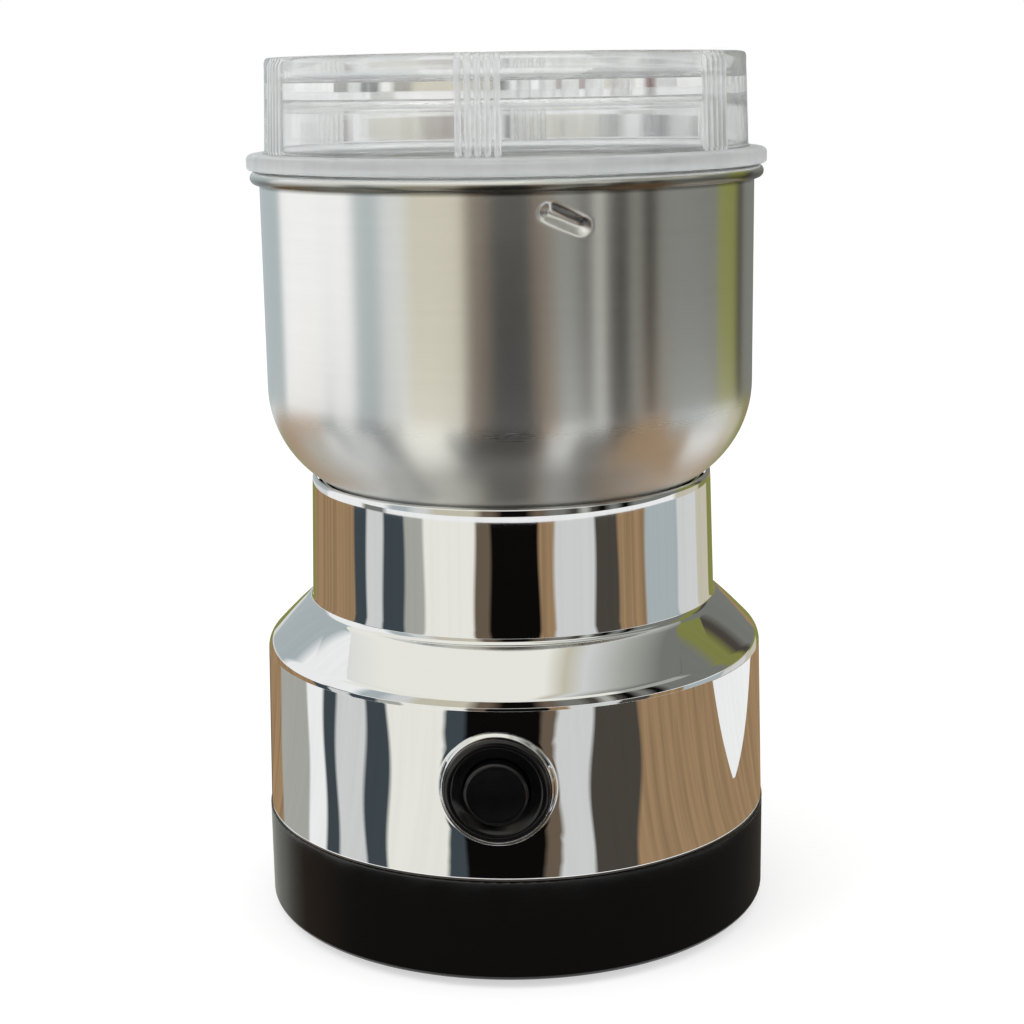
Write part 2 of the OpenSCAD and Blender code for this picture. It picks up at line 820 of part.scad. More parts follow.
// A flat rounded rectangle in the XY plane
module rounded(w, h, r) {
    square([w - 2 * r, h], center = true);
    square([w, h - 2 * r], center = true);
    for (x = [-1, 1], y = [-1, 1]) translate([x * (w / 2 - r), y * (h / 2 - r)]) circle(r = r);
}

module field_coils() {
    coil_tall = stator_h + 2 * coil_end;
    core_tall = stator_h + 0.6;
    color("#b5672c") for (a = [0, 180]) rotate([0, 0, a])
        translate([coil_in, 0, z_stator + stator_h / 2]) rotate([90, 0, 90])
        linear_extrude(coil_out - coil_in) difference() {
            rounded(2 * coil_half, coil_tall, 3);
            rounded(2 * coil_core, core_tall, 1);
        }
}

module upper_bracket() {
    color("#9ea2a6") difference() {
        union() {
            block([-mount_at, -strap_w / 2, z_arm], [mount_at, strap_w / 2, z_arm + arm_t]);
            for (s = [-1, 1]) translate([s * mount_at, 0, 0]) rod(strap_w / 2, z_arm, z_arm + arm_t);
            block([-strap_w / 2, -bolt_at - 3, z_arm], [strap_w / 2, bolt_at + 3, z_arm + arm_t]);
            for (s = [-1, 1]) translate([0, s * bolt_at, 0])
                block([-strap_w / 2, -tab_t / 2, z_stator_top], [strap_w / 2, tab_t / 2, z_arm + bit]);
            rod(hub_r, z_arm - 2, z_arm + 5);
        }
        rod(bearing_r, z_arm - 3, z_arm + 6);
        for (s = [-1, 1]) {
            translate([s * mount_at, 0, 0]) rod(mount_screw_r + 2 * seat_gap, z_arm - 1, z_arm + arm_t + 1);
            translate([0, s * bolt_at, 0]) rod(bolt_r + seat_gap, z_stator_top - 1, z_arm + arm_t + 1);
        }
    }
}

module lower_bracket() {
    color("#1f1f22") difference() {
        union() {
            block([-strap_w / 2, -bolt_at - 3, z_low], [strap_w / 2, bolt_at + 3, z_low + low_t]);
            block([-side_arm_at - 3, -strap_w / 2, z_low], [side_arm_at + 3, strap_w / 2, z_low + low_t]);
            for (s = [-1, 1]) {
                translate([0, s * bolt_at, 0])
                    block([-strap_w / 2, -tab_t / 2, z_low + bit], [strap_w / 2, tab_t / 2, z_stator]);
                translate([s * side_arm_at, 0, 0]) block(
                    [-side_arm_t / 2, -strap_w / 2, z_low + low_t - bit],
                    [side_arm_t / 2, strap_w / 2, z_brush + holder_half_h + 1.3]
                );
            }
            rod(hub_r, z_low - 2, z_low + 5);
        }
        rod(bearing_r, z_low - 3, z_low + 6);
        for (s = [-1, 1]) {
            translate([0, s * bolt_at, 0]) rod(bolt_r + seat_gap, z_low - 1, z_stator + 1);
            translate([s * side_arm_at, 0, z_brush]) block(
                [-side_arm_t, -holder_half_w - seat_gap, -holder_half_h - seat_gap],
                [side_arm_t, holder_half_w + seat_gap, holder_half_h + seat_gap]
            );
        }
    }
}

module bearing_at(z) {
    color("#b08d4f") band(shaft_r + run_gap, bearing_r - bit, z, z + bearing_h);
}

module upper_bearing() {
    bearing_at(z_arm - 2);
}

module lower_bearing() {
    bearing_at(z_low - 2);
}

module motor_bolts() {
    color("silver") for (s = [-1, 1]) translate([0, s * bolt_at, 0]) {
        rod(bolt_r, z_low - bolt_head_h, z_arm + arm_t + bolt_head_h + 0.8);
        translate([0, 0, z_low - bolt_head_h]) cylinder(r = bolt_head_r, h = bolt_head_h, $fn = 6);
        translate([0, 0, z_arm + arm_t]) cylinder(r = bolt_head_r, h = bolt_head_h, $fn = 6);
    }
}

module brush_holders() {
    hole_w = brush_half_w + seat_gap;
    hole_h = brush_half_h + seat_gap;
    color("#c9a44c") for (a = [0, 180]) rotate([0, 0, a]) translate([0, 0, z_brush]) difference() {
        block(
            [brush_tube_in, -holder_half_w, -holder_half_h],
            [brush_tube_out, holder_half_w, holder_half_h]
        );
        block([brush_tube_in - 1, -hole_w, -hole_h], [brush_tube_out - holder_wall, hole_w, hole_h]);
    }
}

module carbon_brushes() {
    color("#26262a") for (a = [0, 180]) rotate([0, 0, a]) translate([0, 0, z_brush]) difference() {
        block(
            [commutator_r - 0.6, -brush_half_w, -brush_half_h],
            [commutator_r + brush_len, brush_half_w, brush_half_h]
        );
        rod(commutator_r + run_gap + 0.05, -5, 5);
    }
}

module brush_springs() {
    from = commutator_r + brush_len;
    color("silver") for (a = [0, 180]) rotate([0, 0, a]) translate([from, 0, z_brush]) rotate([0, 90, 0])
        spring(brush_tube_out - holder_wall - from, 1.9, 0.25, 3);
}

module supply_leads() {
    color("#7a4a2a") tube(live_route, lead_r, 8);
    color("#3a5f9a") tube(neutral_route, lead_r, 8);
}

module motor_leads() {
    color("#222222") {
        tube(switched_route, lead_r, 8);
        tube(return_route, lead_r, 8);
    }
}

// ---- Rotor ----

module shaft() {
    color("silver") {
        rod(shaft_r, z_shaft, z_blade);
        rod(tip_r, z_blade - bit, z_shaft_end);
    }
}

module armature_core() {
    color("#8a8d92") difference() {
        rod(armature_r, z_core, z_core + core_h);
        rod(shaft_r, z_core - 1, z_core + core_h + 1);
        for (a = [0:360 / slots:359]) rotate([0, 0, a]) {
            translate([armature_r - 3.2, 0, 0]) rod(1.9, z_core - 1, z_core + core_h + 1);
            block([armature_r - 3, -0.7, z_core - 1], [armature_r + 1, 0.7, z_core + core_h + 1]);
        }
    }
}

module armature_windings() {
    color("#b5672c") {
        for (z = [z_core - winding_end, z_core + core_h]) rotate_extrude() polygon([
            [shaft_r, z], [winding_r - 1.5, z], [winding_r, z + 1], [winding_r, z + winding_end - 1],
            [winding_r - 1.5, z + winding_end], [shaft_r, z + winding_end]
        ]);
        for (a = [0:360 / slots:359]) rotate([0, 0, a]) translate([armature_r - 3.2, 0, 0])
            rod(1.6, z_core - 1, z_core + core_h + 1);
    }
}

module commutator() {
    color("#b87b45") difference() {
        rod(commutator_r, z_commutator, z_commutator + commutator_h);
        rod(shaft_r, z_commutator - 1, z_commutator + commutator_h + 1);
        for (a = [0:360 / slots:359]) rotate([0, 0, a + 180 / slots])
            block(
                [commutator_r - 1, -0.3, z_commutator - 1],
                [commutator_r + 1, 0.3, z_commutator + commutator_h + 1]
            );
    }
}

module cooling_fan() {
    color("#e8e6df") difference() {
        union() {
            rod(7, z_fan, z_fan + fan_h);
            rod(fan_r, z_fan, z_fan + 1.2);
            for (a = [0:360 / vanes:359]) rotate([0, 0, a]) translate([6, 0, 0]) rotate([0, 0, 14])
                block([0, -0.6, z_fan + 1], [fan_r - 7.5, 0.6, z_fan + fan_h]);
        }
        rod(shaft_r, z_fan - 1, z_fan + fan_h + 1);
    }
}

module blade_collar() {
    color("silver") band(shaft_r, shaft_r + 2.5, z_bush_top + move_gap, z_blade);
}

// Side view of two opposite wings, which bend by the angle rise past their straight root
function wings_side(rise) =
    let (reach = blade_r - wing_root, c = cos(rise), s = sin(rise), lean = blade_t * tan(rise / 2))
    let (low = [[wing_root, 0], [wing_root + reach * c, reach * s]])
    let (high = [low[1] + blade_t * [-s, c], [wing_root - lean, blade_t]])
    let (half = concat(low, high))
    concat(half, [for (i = [3:-1:0]) [-half[i].x, half[i].y]]);

// Plan view of two opposite wings, whose leading corners are cut back
module wings_plan() {
    for (a = [0, 180]) rotate([0, 0, a]) polygon([
        [-1, -wing_w / 2], [blade_r - 4, -wing_w / 2], [blade_r - 0.8, wing_w / 2 - 1],
        [blade_r - 2, wing_w / 2], [-1, wing_w / 2]
    ]);
}

module wing_pair(rise) {
    intersection() {
        rotate([90, 0, 0]) linear_extrude(wing_w + 2, center = true) polygon(wings_side(rise));
        translate([0, 0, -8]) linear_extrude(24) wings_plan();
    }
}

module blade() {
    color("#c8cbd0") translate([0, 0, z_blade]) difference() {
        union() {
            rod(wing_w / 2 + 3.5, 0, blade_t);
            wing_pair(bend_up);
            rotate([0, 0, 90]) wing_pair(-bend_down);
        }
        rod(tip_r, -2, blade_t + 2);
    }
}

module blade_washer() {
    color("silver") band(tip_r, 6, z_washer, z_nut);
}

module blade_nut() {
    color("silver") difference() {
        translate([0, 0, z_nut]) cylinder(r = 5.8, h = blade_nut_h, $fn = 6);
        rod(tip_r, z_nut - 1, z_nut + blade_nut_h + 1);
    }
}

// ---- Lid ----

module lid_seal() {
    color("#d8dcdc") rotate_extrude() translate([seal_in, z_flange]) square([seal_out - seal_in, seal_h]);
}

// The lid's half section: flange, tapered grip wall, sunken top plate and spigot
module lid_section() {
    polygon(concat(
        [[spigot_r, z_spigot + 0.6], [spigot_r, z_flange], [seal_in - run_gap, z_flange]],
        [[seal_in - run_gap, z_flange + seal_h + run_gap], [seal_out + run_gap, z_flange + seal_h + run_gap]],
        [[seal_out + run_gap, z_flange], [flange_r - 0.4, z_flange]],
        [[flange_r, z_flange + 0.4]],
        arc(flange_r - 1.1, z_grip - 1.1, 1.1, 0, 90, 5),
        [[grip_r + 0.5, z_grip], [grip_r, z_grip + 0.5]],
        arc(grip_top_r - 0.8, z_top - 0.8, 0.8, 0, 90, 5),
        [[grip_top_r - lid_wall, z_top], [grip_top_r - lid_wall - 0.2, z_dish + 1.2]],
        [[grip_top_r - lid_wall - 1.4, z_dish], [0, z_dish]],
        [[0, z_dish - plate_t], [grip_top_r - lid_wall - 1.8, z_dish - plate_t]],
        [[grip_r - lid_wall, z_dish - plate_t - 1.8], [grip_r - lid_wall, z_grip - 0.4]],
        [[spigot_r - lid_wall, z_flange], [spigot_r - lid_wall, z_spigot], [spigot_r - 0.6, z_spigot]]
    ));
}

module lugs() {
    intersection() {
        band(spigot_r - lid_wall / 2, lug_r, z_spigot, z_flange);
        for (k = [0:locks - 1]) rotate([0, 0, ridge_turn + 360 * k / locks])
            translate([0, -spigot_r, lug_z]) rotate([0, ridge_slope, 0])
            block([-lug_len / 2, -4, -lug_t / 2], [lug_len / 2, 2, lug_t / 2]);
    }
}

module grip_ribs() {
    tilt = atan((grip_r - grip_top_r) / lid_h);
    for (g = [0:rib_groups - 1], k = [0:ribs - 1])
        rotate([0, 0, 360 * g / rib_groups + (k - (ribs - 1) / 2) * rib_pitch + rib_turn])
        translate([0, -grip_r, z_grip - rib_bed]) rotate([-tilt, 0, 0]) rod(rib_r, 0, lid_h - 2 * rib_r);
}

module lid() {
    color([0.93, 0.95, 0.95, 0.45]) union() {
        rotate_extrude() lid_section();
        lugs();
        grip_ribs();
    }
}

housing();
base();
feet();
base_screws();
cord_gland();
button_bezel();
bezel_nut();
button_cap();
return_spring();
switch_bracket();
bracket_screws();
switch_body();
switch_plunger();
switch_terminals();
switch_screws();
bowl();
bowl_bush();
bush_nut();
bowl_gasket();
motor_plate();
deck_screws();
damping_mounts();
mount_screws();
stator_core();
field_coils();
upper_bracket();
lower_bracket();
upper_bearing();
lower_bearing();
motor_bolts();
brush_holders();
carbon_brushes();
brush_springs();
supply_leads();
motor_leads();
shaft();
armature_core();
armature_windings();
commutator();
cooling_fan();
blade_collar();
blade();
blade_washer();
blade_nut();
lid_seal();
lid();
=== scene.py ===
# %% [markdown]
# # Electric spice grinder
#
# A clear twist-off lid sits on a brushed steel bowl. The bowl stands on a motor housing that is
# chromed like a mirror, and the housing stands on a black base. A black push button is low on the
# front. The construction is already there as solids, so this script only dresses it: the pieces
# whose curves show are made again as smooth surfaces, and every piece gets a finish.
# %% Load the frame
import bmesh
import bpy
import numpy as np
from mathutils import Matrix, Vector


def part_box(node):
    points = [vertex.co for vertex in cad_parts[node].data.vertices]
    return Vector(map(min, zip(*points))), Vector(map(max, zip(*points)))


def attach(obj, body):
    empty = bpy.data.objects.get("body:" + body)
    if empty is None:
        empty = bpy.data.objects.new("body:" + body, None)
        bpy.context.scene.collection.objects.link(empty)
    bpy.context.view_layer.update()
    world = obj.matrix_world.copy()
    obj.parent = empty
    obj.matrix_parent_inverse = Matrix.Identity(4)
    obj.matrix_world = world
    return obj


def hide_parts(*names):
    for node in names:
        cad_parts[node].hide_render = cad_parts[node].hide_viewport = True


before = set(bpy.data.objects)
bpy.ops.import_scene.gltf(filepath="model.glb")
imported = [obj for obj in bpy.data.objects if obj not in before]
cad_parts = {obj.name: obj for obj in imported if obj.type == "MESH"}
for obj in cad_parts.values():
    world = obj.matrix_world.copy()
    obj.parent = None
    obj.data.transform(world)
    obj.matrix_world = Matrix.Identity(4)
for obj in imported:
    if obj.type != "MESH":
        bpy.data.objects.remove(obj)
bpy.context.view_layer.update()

MM = 0.001

# %% [markdown]
# Sizes are read from the solids wherever the box of a solid gives them, so that a surface always
# meets its neighbours. The neck and the bowl have wider parts that hide their radii from a box, so
# these two are written down. The fine radii that only the eye needs stand with their pieces.
# %% Sizes in millimetres


def corners(node):
    """Lowest and highest corner of a solid, in millimetres."""
    low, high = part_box(node)
    return np.array(low) / MM, np.array(high) / MM


shell_low, shell_high = corners("housing")
base_low, base_high = corners("base")
bowl_low, bowl_high = corners("bowl")
bezel_low, bezel_high = corners("button_bezel")

skirt_r, z_skirt, z_lip = shell_high[0], shell_low[2], shell_high[2]
base_r, z_base = base_high[0], base_low[2]
z_bowl, z_rim, z_lid = bowl_low[2], bowl_high[2], corners("lid")[1][2]
button_z = (bezel_low[2] + bezel_high[2]) / 2
bezel_r = (bezel_high[0] - bezel_low[0]) / 2
bezel_front, cap_front = -bezel_low[1], -corners("button_cap")[0][1]
neck_r, bowl_r = 40.1, 47.3
print("height", round(z_lid, 1), "button at", round(button_z, 1))

# %% [markdown]
# Almost every piece here was turned, spun or moulded round one axis. So the main tool is a
# surface of revolution: an outline in the plane of radius and height, carried round a circle.
# It is worked out as one array and handed to the mesh in one go.
# %% Surfaces of revolution

BUTTON_TURNS = 128


def arc(mid_r, mid_z, radius, start, end, count=8):
    """Points (r, z) on a circle: r = mid_r + radius cos a, z = mid_z + radius sin a."""
    a = np.radians(np.linspace(start, end, count + 1))
    return np.stack([mid_r + radius * np.cos(a), mid_z + radius * np.sin(a)], -1)


def outline(*parts):
    """Joins points and arcs into one outline, an array of (r, z)."""
    return np.concatenate([np.atleast_2d(np.asarray(p, float)) for p in parts])


def even_turns(count):
    """Angles of a full turn, without the last one, which is the first again."""
    return np.linspace(0, 2 * np.pi, count, endpoint=False)


def grid_faces(rows, cols, ring=True):
    """Quads between neighbouring rows and columns; the last column meets the first on a ring."""
    i, j = np.meshgrid(np.arange(rows - 1), np.arange(cols if ring else cols - 1), indexing="ij")
    k = (j + 1) % cols
    return np.stack([i * cols + j, i * cols + k, (i + 1) * cols + k, (i + 1) * cols + j], -1).reshape(-1, 4)


def put_in_scene(name, data):
    """A new object with this data, linked to the scene."""
    item = bpy.data.objects.new(name, data)
    bpy.context.scene.collection.objects.link(item)
    return item


def mesh_in_metres(name, points, faces):
    """A mesh in metres from points in millimetres."""
    mesh = bpy.data.meshes.new(name)
    mesh.from_pydata((points.reshape(-1, 3) * MM).tolist(), [], faces.tolist())
    return mesh


def smooth_piece(name, mesh, reach, sharp, thin=False):
    """An object whose corners within reach of each other are merged, creased above sharp degrees.

    With thin set, triangles without width are dissolved too.
    """
    work = bmesh.new()
    work.from_mesh(mesh)
    bmesh.ops.remove_doubles(work, verts=work.verts, dist=reach)
    if thin:
        bmesh.ops.dissolve_degenerate(work, edges=work.edges, dist=1e-7)
    work.to_mesh(mesh)
    work.free()
    mesh.shade_smooth()
    mesh.set_sharp_from_angle(angle=np.radians(sharp))
    return put_in_scene(name, mesh)


def make_piece(name, points, faces, sharp):
    """A piece from points in millimetres, with its doubles at seams and poles merged."""
    return smooth_piece(name, mesh_in_metres(name, points, faces), 2e-7, sharp)


def revolved(rz, turns, push=0.0):
    """Points x = r cos a, y = r sin a, z for each (r, z) and each angle a, with r pushed outwards."""
    r = rz[:, :1] + push
    return np.stack([r * np.cos(turns), r * np.sin(turns), rz[:, 1:] + 0 * turns], -1)


def button_piece(name, rz):
    """A piece turned round the button's axis; the outline's z is the distance to the front."""
    x, y, z = np.moveaxis(revolved(rz, even_turns(BUTTON_TURNS)), -1, 0)
    return make_piece(name, np.stack([x, -z, y + button_z], -1), grid_faces(len(rz), BUTTON_TURNS), 40)


print("tools for turned pieces ready")

# %% [markdown]
# ## Camera
#
# The view of the photograph: from the height of the lid, looking slightly down, with the button
# a few degrees left of the middle. The camera comes first, because everything is judged through
# it, and because the cards below are laid out along its rays.
# %% Camera

camera_from_axis = 379.5
camera_above_base = 161.2
camera_turn = np.radians(4.0)
camera_pitch = np.radians(12.5)
camera_roll = np.radians(-0.9)


def camera_basis(turn, pitch, roll):
    """Right, up and forward directions of a camera that looks at the axis, tilted down and rolled."""
    ahead0 = np.array([-np.sin(turn), np.cos(turn), 0.0])
    right0 = np.array([np.cos(turn), np.sin(turn), 0.0])
    up0 = np.array([0.0, 0.0, 1.0])
    ahead = ahead0 * np.cos(pitch) - up0 * np.sin(pitch)
    up1 = up0 * np.cos(pitch) + ahead0 * np.sin(pitch)
    right = right0 * np.cos(roll) + up1 * np.sin(roll)
    up = up1 * np.cos(roll) - right0 * np.sin(roll)
    return right, up, ahead


right, up, ahead = camera_basis(camera_turn, camera_pitch, camera_roll)
camera_data = bpy.data.cameras.new("camera")
camera_data.sensor_width = 36
camera_data.lens = 68.4
camera = put_in_scene("camera", camera_data)
spot = Vector((camera_from_axis * np.sin(camera_turn), -camera_from_axis * np.cos(camera_turn),
               camera_above_base + z_base)) * MM
camera.matrix_world = Matrix.Translation(spot) @ Matrix(np.stack([right, up, -ahead], -1).tolist()).to_4x4()
bpy.context.scene.camera = camera
print("camera at", [round(v, 3) for v in spot])

# %% [markdown]
# ## Materials
#
# Each finish starts from what the real surface is. Colours are written as sRGB hex, as a paint
# chart gives them, and one function turns them into the linear values that the shader wants.
# %% Helpers for materials


def linear(code):
    """Linear RGBA of an sRGB hex colour: c / 12.92 when dark, else ((c + 0.055) / 1.055) ** 2.4."""
    c = np.array([int(code[i:i + 2], 16) for i in (1, 3, 5)]) / 255
    return (*np.where(c <= 0.04045, c / 12.92, ((c + 0.055) / 1.055) ** 2.4).tolist(), 1.0)


def new_material(name):
    """A node material that holds only its output; returns it with its node tree."""
    material = bpy.data.materials.new(name)
    material.use_nodes = True
    material.node_tree.nodes.clear()
    material.node_tree.nodes.new("ShaderNodeOutputMaterial")
    return material, material.node_tree


def add(tree, kind, settings=None, links=None):
    """Adds a node, sets its properties or inputs by name, and links inputs to sockets or nodes.

    A node given as a link stands for its first output. The setting "stops" holds the
    (position, hex colour) pairs of a colour ramp.
    """
    node = tree.nodes.new("ShaderNode" + kind)
    settings = dict(settings or {})
    for k, (position, code) in enumerate(settings.pop("stops", [])):
        stops = node.color_ramp.elements
        stop = stops[k] if k < len(stops) else stops.new(position)
        stop.position = position
        stop.color = linear(code)
    for key, value in settings.items():
        if isinstance(key, str) and hasattr(node, key):
            setattr(node, key, value)
        else:
            node.inputs[key].default_value = value
    for key, source in (links or {}).items():
        socket = source.outputs[0] if isinstance(source, bpy.types.Node) else source
        tree.links.new(socket, node.inputs[key])
    return node


def finish_surface(tree, shader):
    """Links a shader to the output."""
    tree.links.new(shader.outputs[0], tree.nodes["Material Output"].inputs["Surface"])


def limits(low, high, start=0.0, end=1.0):
    """Settings that map the values start..end to low..high."""
    return {"From Min": start, "From Max": end, "To Min": low, "To Max": high}


def object_place(tree):
    """Object coordinates, which are metres here because every object sits at the origin."""
    return add(tree, "TexCoord").outputs["Object"]


def pattern(tree, size_mm, detail, stretch=None, place=None, rough=0.5):
    """Mottling whose grain is size_mm wide, so its scale is 1000 / size_mm; stretch scales the axes."""
    place = place or object_place(tree)
    if stretch:
        place = add(tree, "Mapping", {"Scale": stretch}, {"Vector": place})
    return add(tree, "TexNoise", {"Scale": 1000.0 / size_mm, "Detail": detail, "Roughness": rough},
               {"Vector": place})


def polar(tree):
    """The angle round the axis in radians, and x, y and z."""
    place = add(tree, "SeparateXYZ", links={"Vector": object_place(tree)})
    x, y, z = (place.outputs[i] for i in range(3))
    return add(tree, "Math", {"operation": "ARCTAN2"}, {0: y, 1: x}), x, y, z


print("material helpers ready")

# %% [markdown]
# ## Stage
#
# Chrome and brushed steel have hardly a look of their own: they show the room. The room here is
# white, with a set of coloured cards round the object that only mirrors can see. A point of a wall
# that faces the angle phi sends the camera's ray off at twice that angle, so a card is put where
# the ray from its band lands: on the table for the base and the skirt, because the camera looks
# down on them, and partly on a low wall for the neck. The bowl's cards are the tall wall above
# that, and a wide card overhead is for the sloping shoulder.
# %% Where a band of the body looks

card_wall_r = 250.0


def mirror_spot(phi, radius, height, lean=0.0):
    """Where the camera's ray lands after a mirror at this angle from the camera, radius and height.

    With n the wall's normal and d the ray's direction, the ray leaves along d - 2 (d . n) n.
    It lands on the table, or on the card wall if it meets that first. A wall that draws in
    towards its top leans its normal up by the angle lean.
    """
    phi, radius, height = np.broadcast_arrays(*map(np.asarray, (phi, radius, height)))
    a = np.radians(phi) + camera_turn
    out = np.stack([np.sin(a), -np.cos(a), 0 * a], -1)
    normal = np.cos(lean) * out + np.array([0, 0, np.sin(lean)])
    place = radius[..., None] * out + np.stack([0 * a, 0 * a, height], -1)
    along = place - np.array(spot) / MM
    along /= np.linalg.norm(along, axis=-1)[..., None]
    away = along - 2 * np.sum(along * normal, -1)[..., None] * normal
    away /= np.hypot(away[..., 0], away[..., 1])[..., None]
    b = np.sum(place[..., :2] * away[..., :2], -1)
    to_wall = -b + np.sqrt(b * b + card_wall_r ** 2 - radius ** 2)
    to_table = (height - 0.2) / np.maximum(-away[..., 2], 1e-3)
    return place + away * np.minimum(to_table, to_wall)[..., None]


print("skirt at 0, 20 and 40 degrees looks at")
print(np.round(mirror_spot(np.array([0, 20, 40]), skirt_r, button_z)))

# %% [markdown]
# The cards carry few colours: whites, greys, browns and one green. A card's bands are listed from
# the left of the body to its right, each with the angle in degrees at which it should begin.
# %% Cards

CARD_COLOURS = {
    "white": "#ffffff", "cream": "#f9f8f0", "pale": "#dcdedd", "linen": "#cfc9b6", "mist": "#b4bec1",
    "stone": "#b0b1aa", "grey": "#7d7e79", "umber": "#6e6052", "wood": "#a98b69", "moss": "#878a4e",
    "slate": "#434c52", "dusk": "#4d4842", "black": "#0d0c0b", "mauve": "#6a4038"
}
NECK_BANDS = [
    (-90, "moss"), (-75, "wood"), (-48, "slate"), (-43, "pale"), (-37, "slate"), (-30, "stone"),
    (-24, "cream"), (-10, "umber"), (-6, "black"), (7, "wood"), (11, "pale"), (22, "dusk"),
    (29, "wood"), (38, "mist"), (51, "pale"), (62, "linen"), (72, "moss")
]
SKIRT_BANDS = [
    (-90, "umber"), (-78, "wood"), (-66, "stone"), (-52, "white"), (-46, "slate"), (-42, "pale"),
    (-34, "slate"), (-28, "cream"), (-15, "slate"), (-11, "black"), (6, "umber"), (9, "pale"),
    (16, "dusk"), (27, "wood")
]
BOWL_BANDS = [
    (-90, "mist"), (-61, "white"), (-35, "mist"), (-28, "pale"), (-22, "linen"), (-9, "umber"),
    (-4, "black"), (5, "umber"), (9, "grey"), (15, "dusk"), (18, "stone"), (21, "dusk"), (23, "black"),
    (26, "grey"), (30, "black"), (33, "grey"), (53, "moss"), (62, "dusk"), (66, "grey")
]
ABOVE_BANDS = [
    (-90, "mist"), (-60, "white"), (-45, "cream"), (25, "stone"), (45, "grey"), (56, "moss"), (66, "grey")
]
LIP_BANDS = [
    (-90, "pale"), (-62, "white"), (-44, "grey"), (-36, "white"), (50, "linen"), (64, "moss"),
    (74, "wood")
]
BASE_BANDS = [(-90, "stone"), (-60, "umber"), (-42, "dusk")]


CARD_ROWS = 24


def card_material():
    """Painted paper that shines by itself; the paint's alpha says how much wood grain it carries.

    The grain is noise over (angle, distance, height), drawn out away from the object.
    """
    material, tree = new_material("card_paper")
    paint = add(tree, "Attribute", {"attribute_name": "paint"})
    angle, _, _, z = polar(tree)
    far = add(tree, "VectorMath", {"operation": "LENGTH"}, {0: object_place(tree)}).outputs["Value"]
    across = add(tree, "CombineXYZ", links={"X": angle, "Y": far, "Z": z})
    streaks = add(tree, "Mapping", {"Scale": (22, 5, 5)}, {"Vector": across})
    grain = add(tree, "TexNoise", {"Scale": 1.0, "Detail": 3.0}, {"Vector": streaks})
    lost = add(tree, "MapRange", limits(0.25, 0.0, 0.35, 0.6), {"Value": grain})
    shade = add(tree, "Math", {"operation": "MULTIPLY"}, {0: lost, 1: paint.outputs["Alpha"]})
    light = add(tree, "Math", {"operation": "SUBTRACT", 0: 1.0}, {1: shade})
    finish_surface(tree, add(tree, "Emission", links={"Color": paint, "Strength": light}))
    return material


def paint(colour, grain=0.15):
    """A card colour with the amount of grain as its alpha, which is 1 for wood."""
    return linear(CARD_COLOURS[colour])[:3] + (1.0 if colour == "wood" else grain,)


card_paper = card_material()


def make_card(name, points, paints):
    """A card from a grid of points, painted by column; only mirrors see it."""
    rows, cols = points.shape[:2]
    mesh = mesh_in_metres(name, points, grid_faces(rows, cols, False))
    layer = mesh.color_attributes.new("paint", "FLOAT_COLOR", "POINT")
    layer.data.foreach_set("color", np.tile(np.array(paints), (rows, 1)).ravel())
    card = put_in_scene(name, mesh)
    mesh.materials.append(card_paper)
    card.visible_camera = False
    card.visible_diffuse = False
    card.visible_shadow = False
    card.visible_transmission = False
    return card


def band_columns(bands, end, soft, step=3.0):
    """Column angles and paints: each band keeps its colour but for a soft part at its edges."""
    edges = [start for start, _ in bands] + [end]
    angles, paints = [], []
    for i, (_, colour) in enumerate(bands):
        width = edges[i + 1] - edges[i]
        inset = min(soft, width / 3)
        steps = np.linspace(edges[i] + inset, edges[i + 1] - inset, 2 + int(width / step))
        angles += steps.tolist()
        paints += [paint(colour)] * len(steps)
    return np.array(angles), paints


def mirrored_card(name, bands, radius, low, high, draw_in=0.0, soft=0.5, sway=0.7):
    """A card laid out by the mirror itself: each point is where the camera's ray lands.

    So a band looks upright on the curved wall, as the parts of a real room do that stand far
    away. A slow sine along the height lets its edges wander by up to sway degrees. The outermost
    columns stop a little short of 90 degrees, where a ray only grazes the wall.
    """
    angles, paints = band_columns(bands, 90, soft)
    angles[0], angles[-1] = -89.9, 89.9
    heights = np.linspace(low, high, CARD_ROWS)[:, None]
    lean = np.arctan(draw_in / (high - low))
    radii = radius - draw_in * (heights - low) / (high - low)
    waves = np.sin(0.19 * heights + 0.23 * angles)
    angles = angles + sway * waves * np.cos(np.radians(angles))
    return make_card(name, mirror_spot(angles, radii, heights, lean), paints)


def wedge_card(name, colour, radius, rows):
    """A card of one colour, nearer and higher than the rest: each row is a height and two angles."""
    rows = np.array(rows, float)
    across = np.linspace(0, 1, 9)
    angles = rows[:, 1:2] + (rows[:, 2:3] - rows[:, 1:2]) * across
    points = mirror_spot(angles, radius, rows[:, :1]) * (0.985, 0.985, 1) + (0, 0, 1.5)
    return make_card(name, points, [paint(colour)] * len(across))


def wall_card(name, bands, radius, height, low, high, soft=3.0):
    """A tall wall with upright bands, for the brushed bowl, which blurs them upwards anyway."""
    angles, paints = band_columns(bands, 90, soft / 2)
    landing = mirror_spot(angles, radius, height)
    a = np.unwrap(np.arctan2(landing[:, 1], landing[:, 0]))
    heights = np.array([low, high])[:, None]
    r = card_wall_r + 2
    points = np.stack([r * np.cos(a) + 0 * heights, r * np.sin(a) + 0 * heights, heights + 0 * a], -1)
    return make_card(name, points, paints)


def flat_card(name, x, y, z, paints):
    """A card whose columns are at x and whose rows are at y and z."""
    x, y, z = np.array(x, float), np.array(y, float)[:, None], np.array(z, float)[:, None]
    return make_card(name, np.stack([x + 0 * y, y + 0 * x, z + 0 * x], -1), paints)


print("cards are strips of", CARD_ROWS, "rows")

# %% [markdown]
# The skirt's card and the neck's meet where the shoulder is, so its foot looks at their seam. The
# card overhead is cream in the middle and goes darker to the right, which gives the shoulder its
# tones. One more strip lies behind the object, where the bands of the others leave a gap.
# %% The set of cards

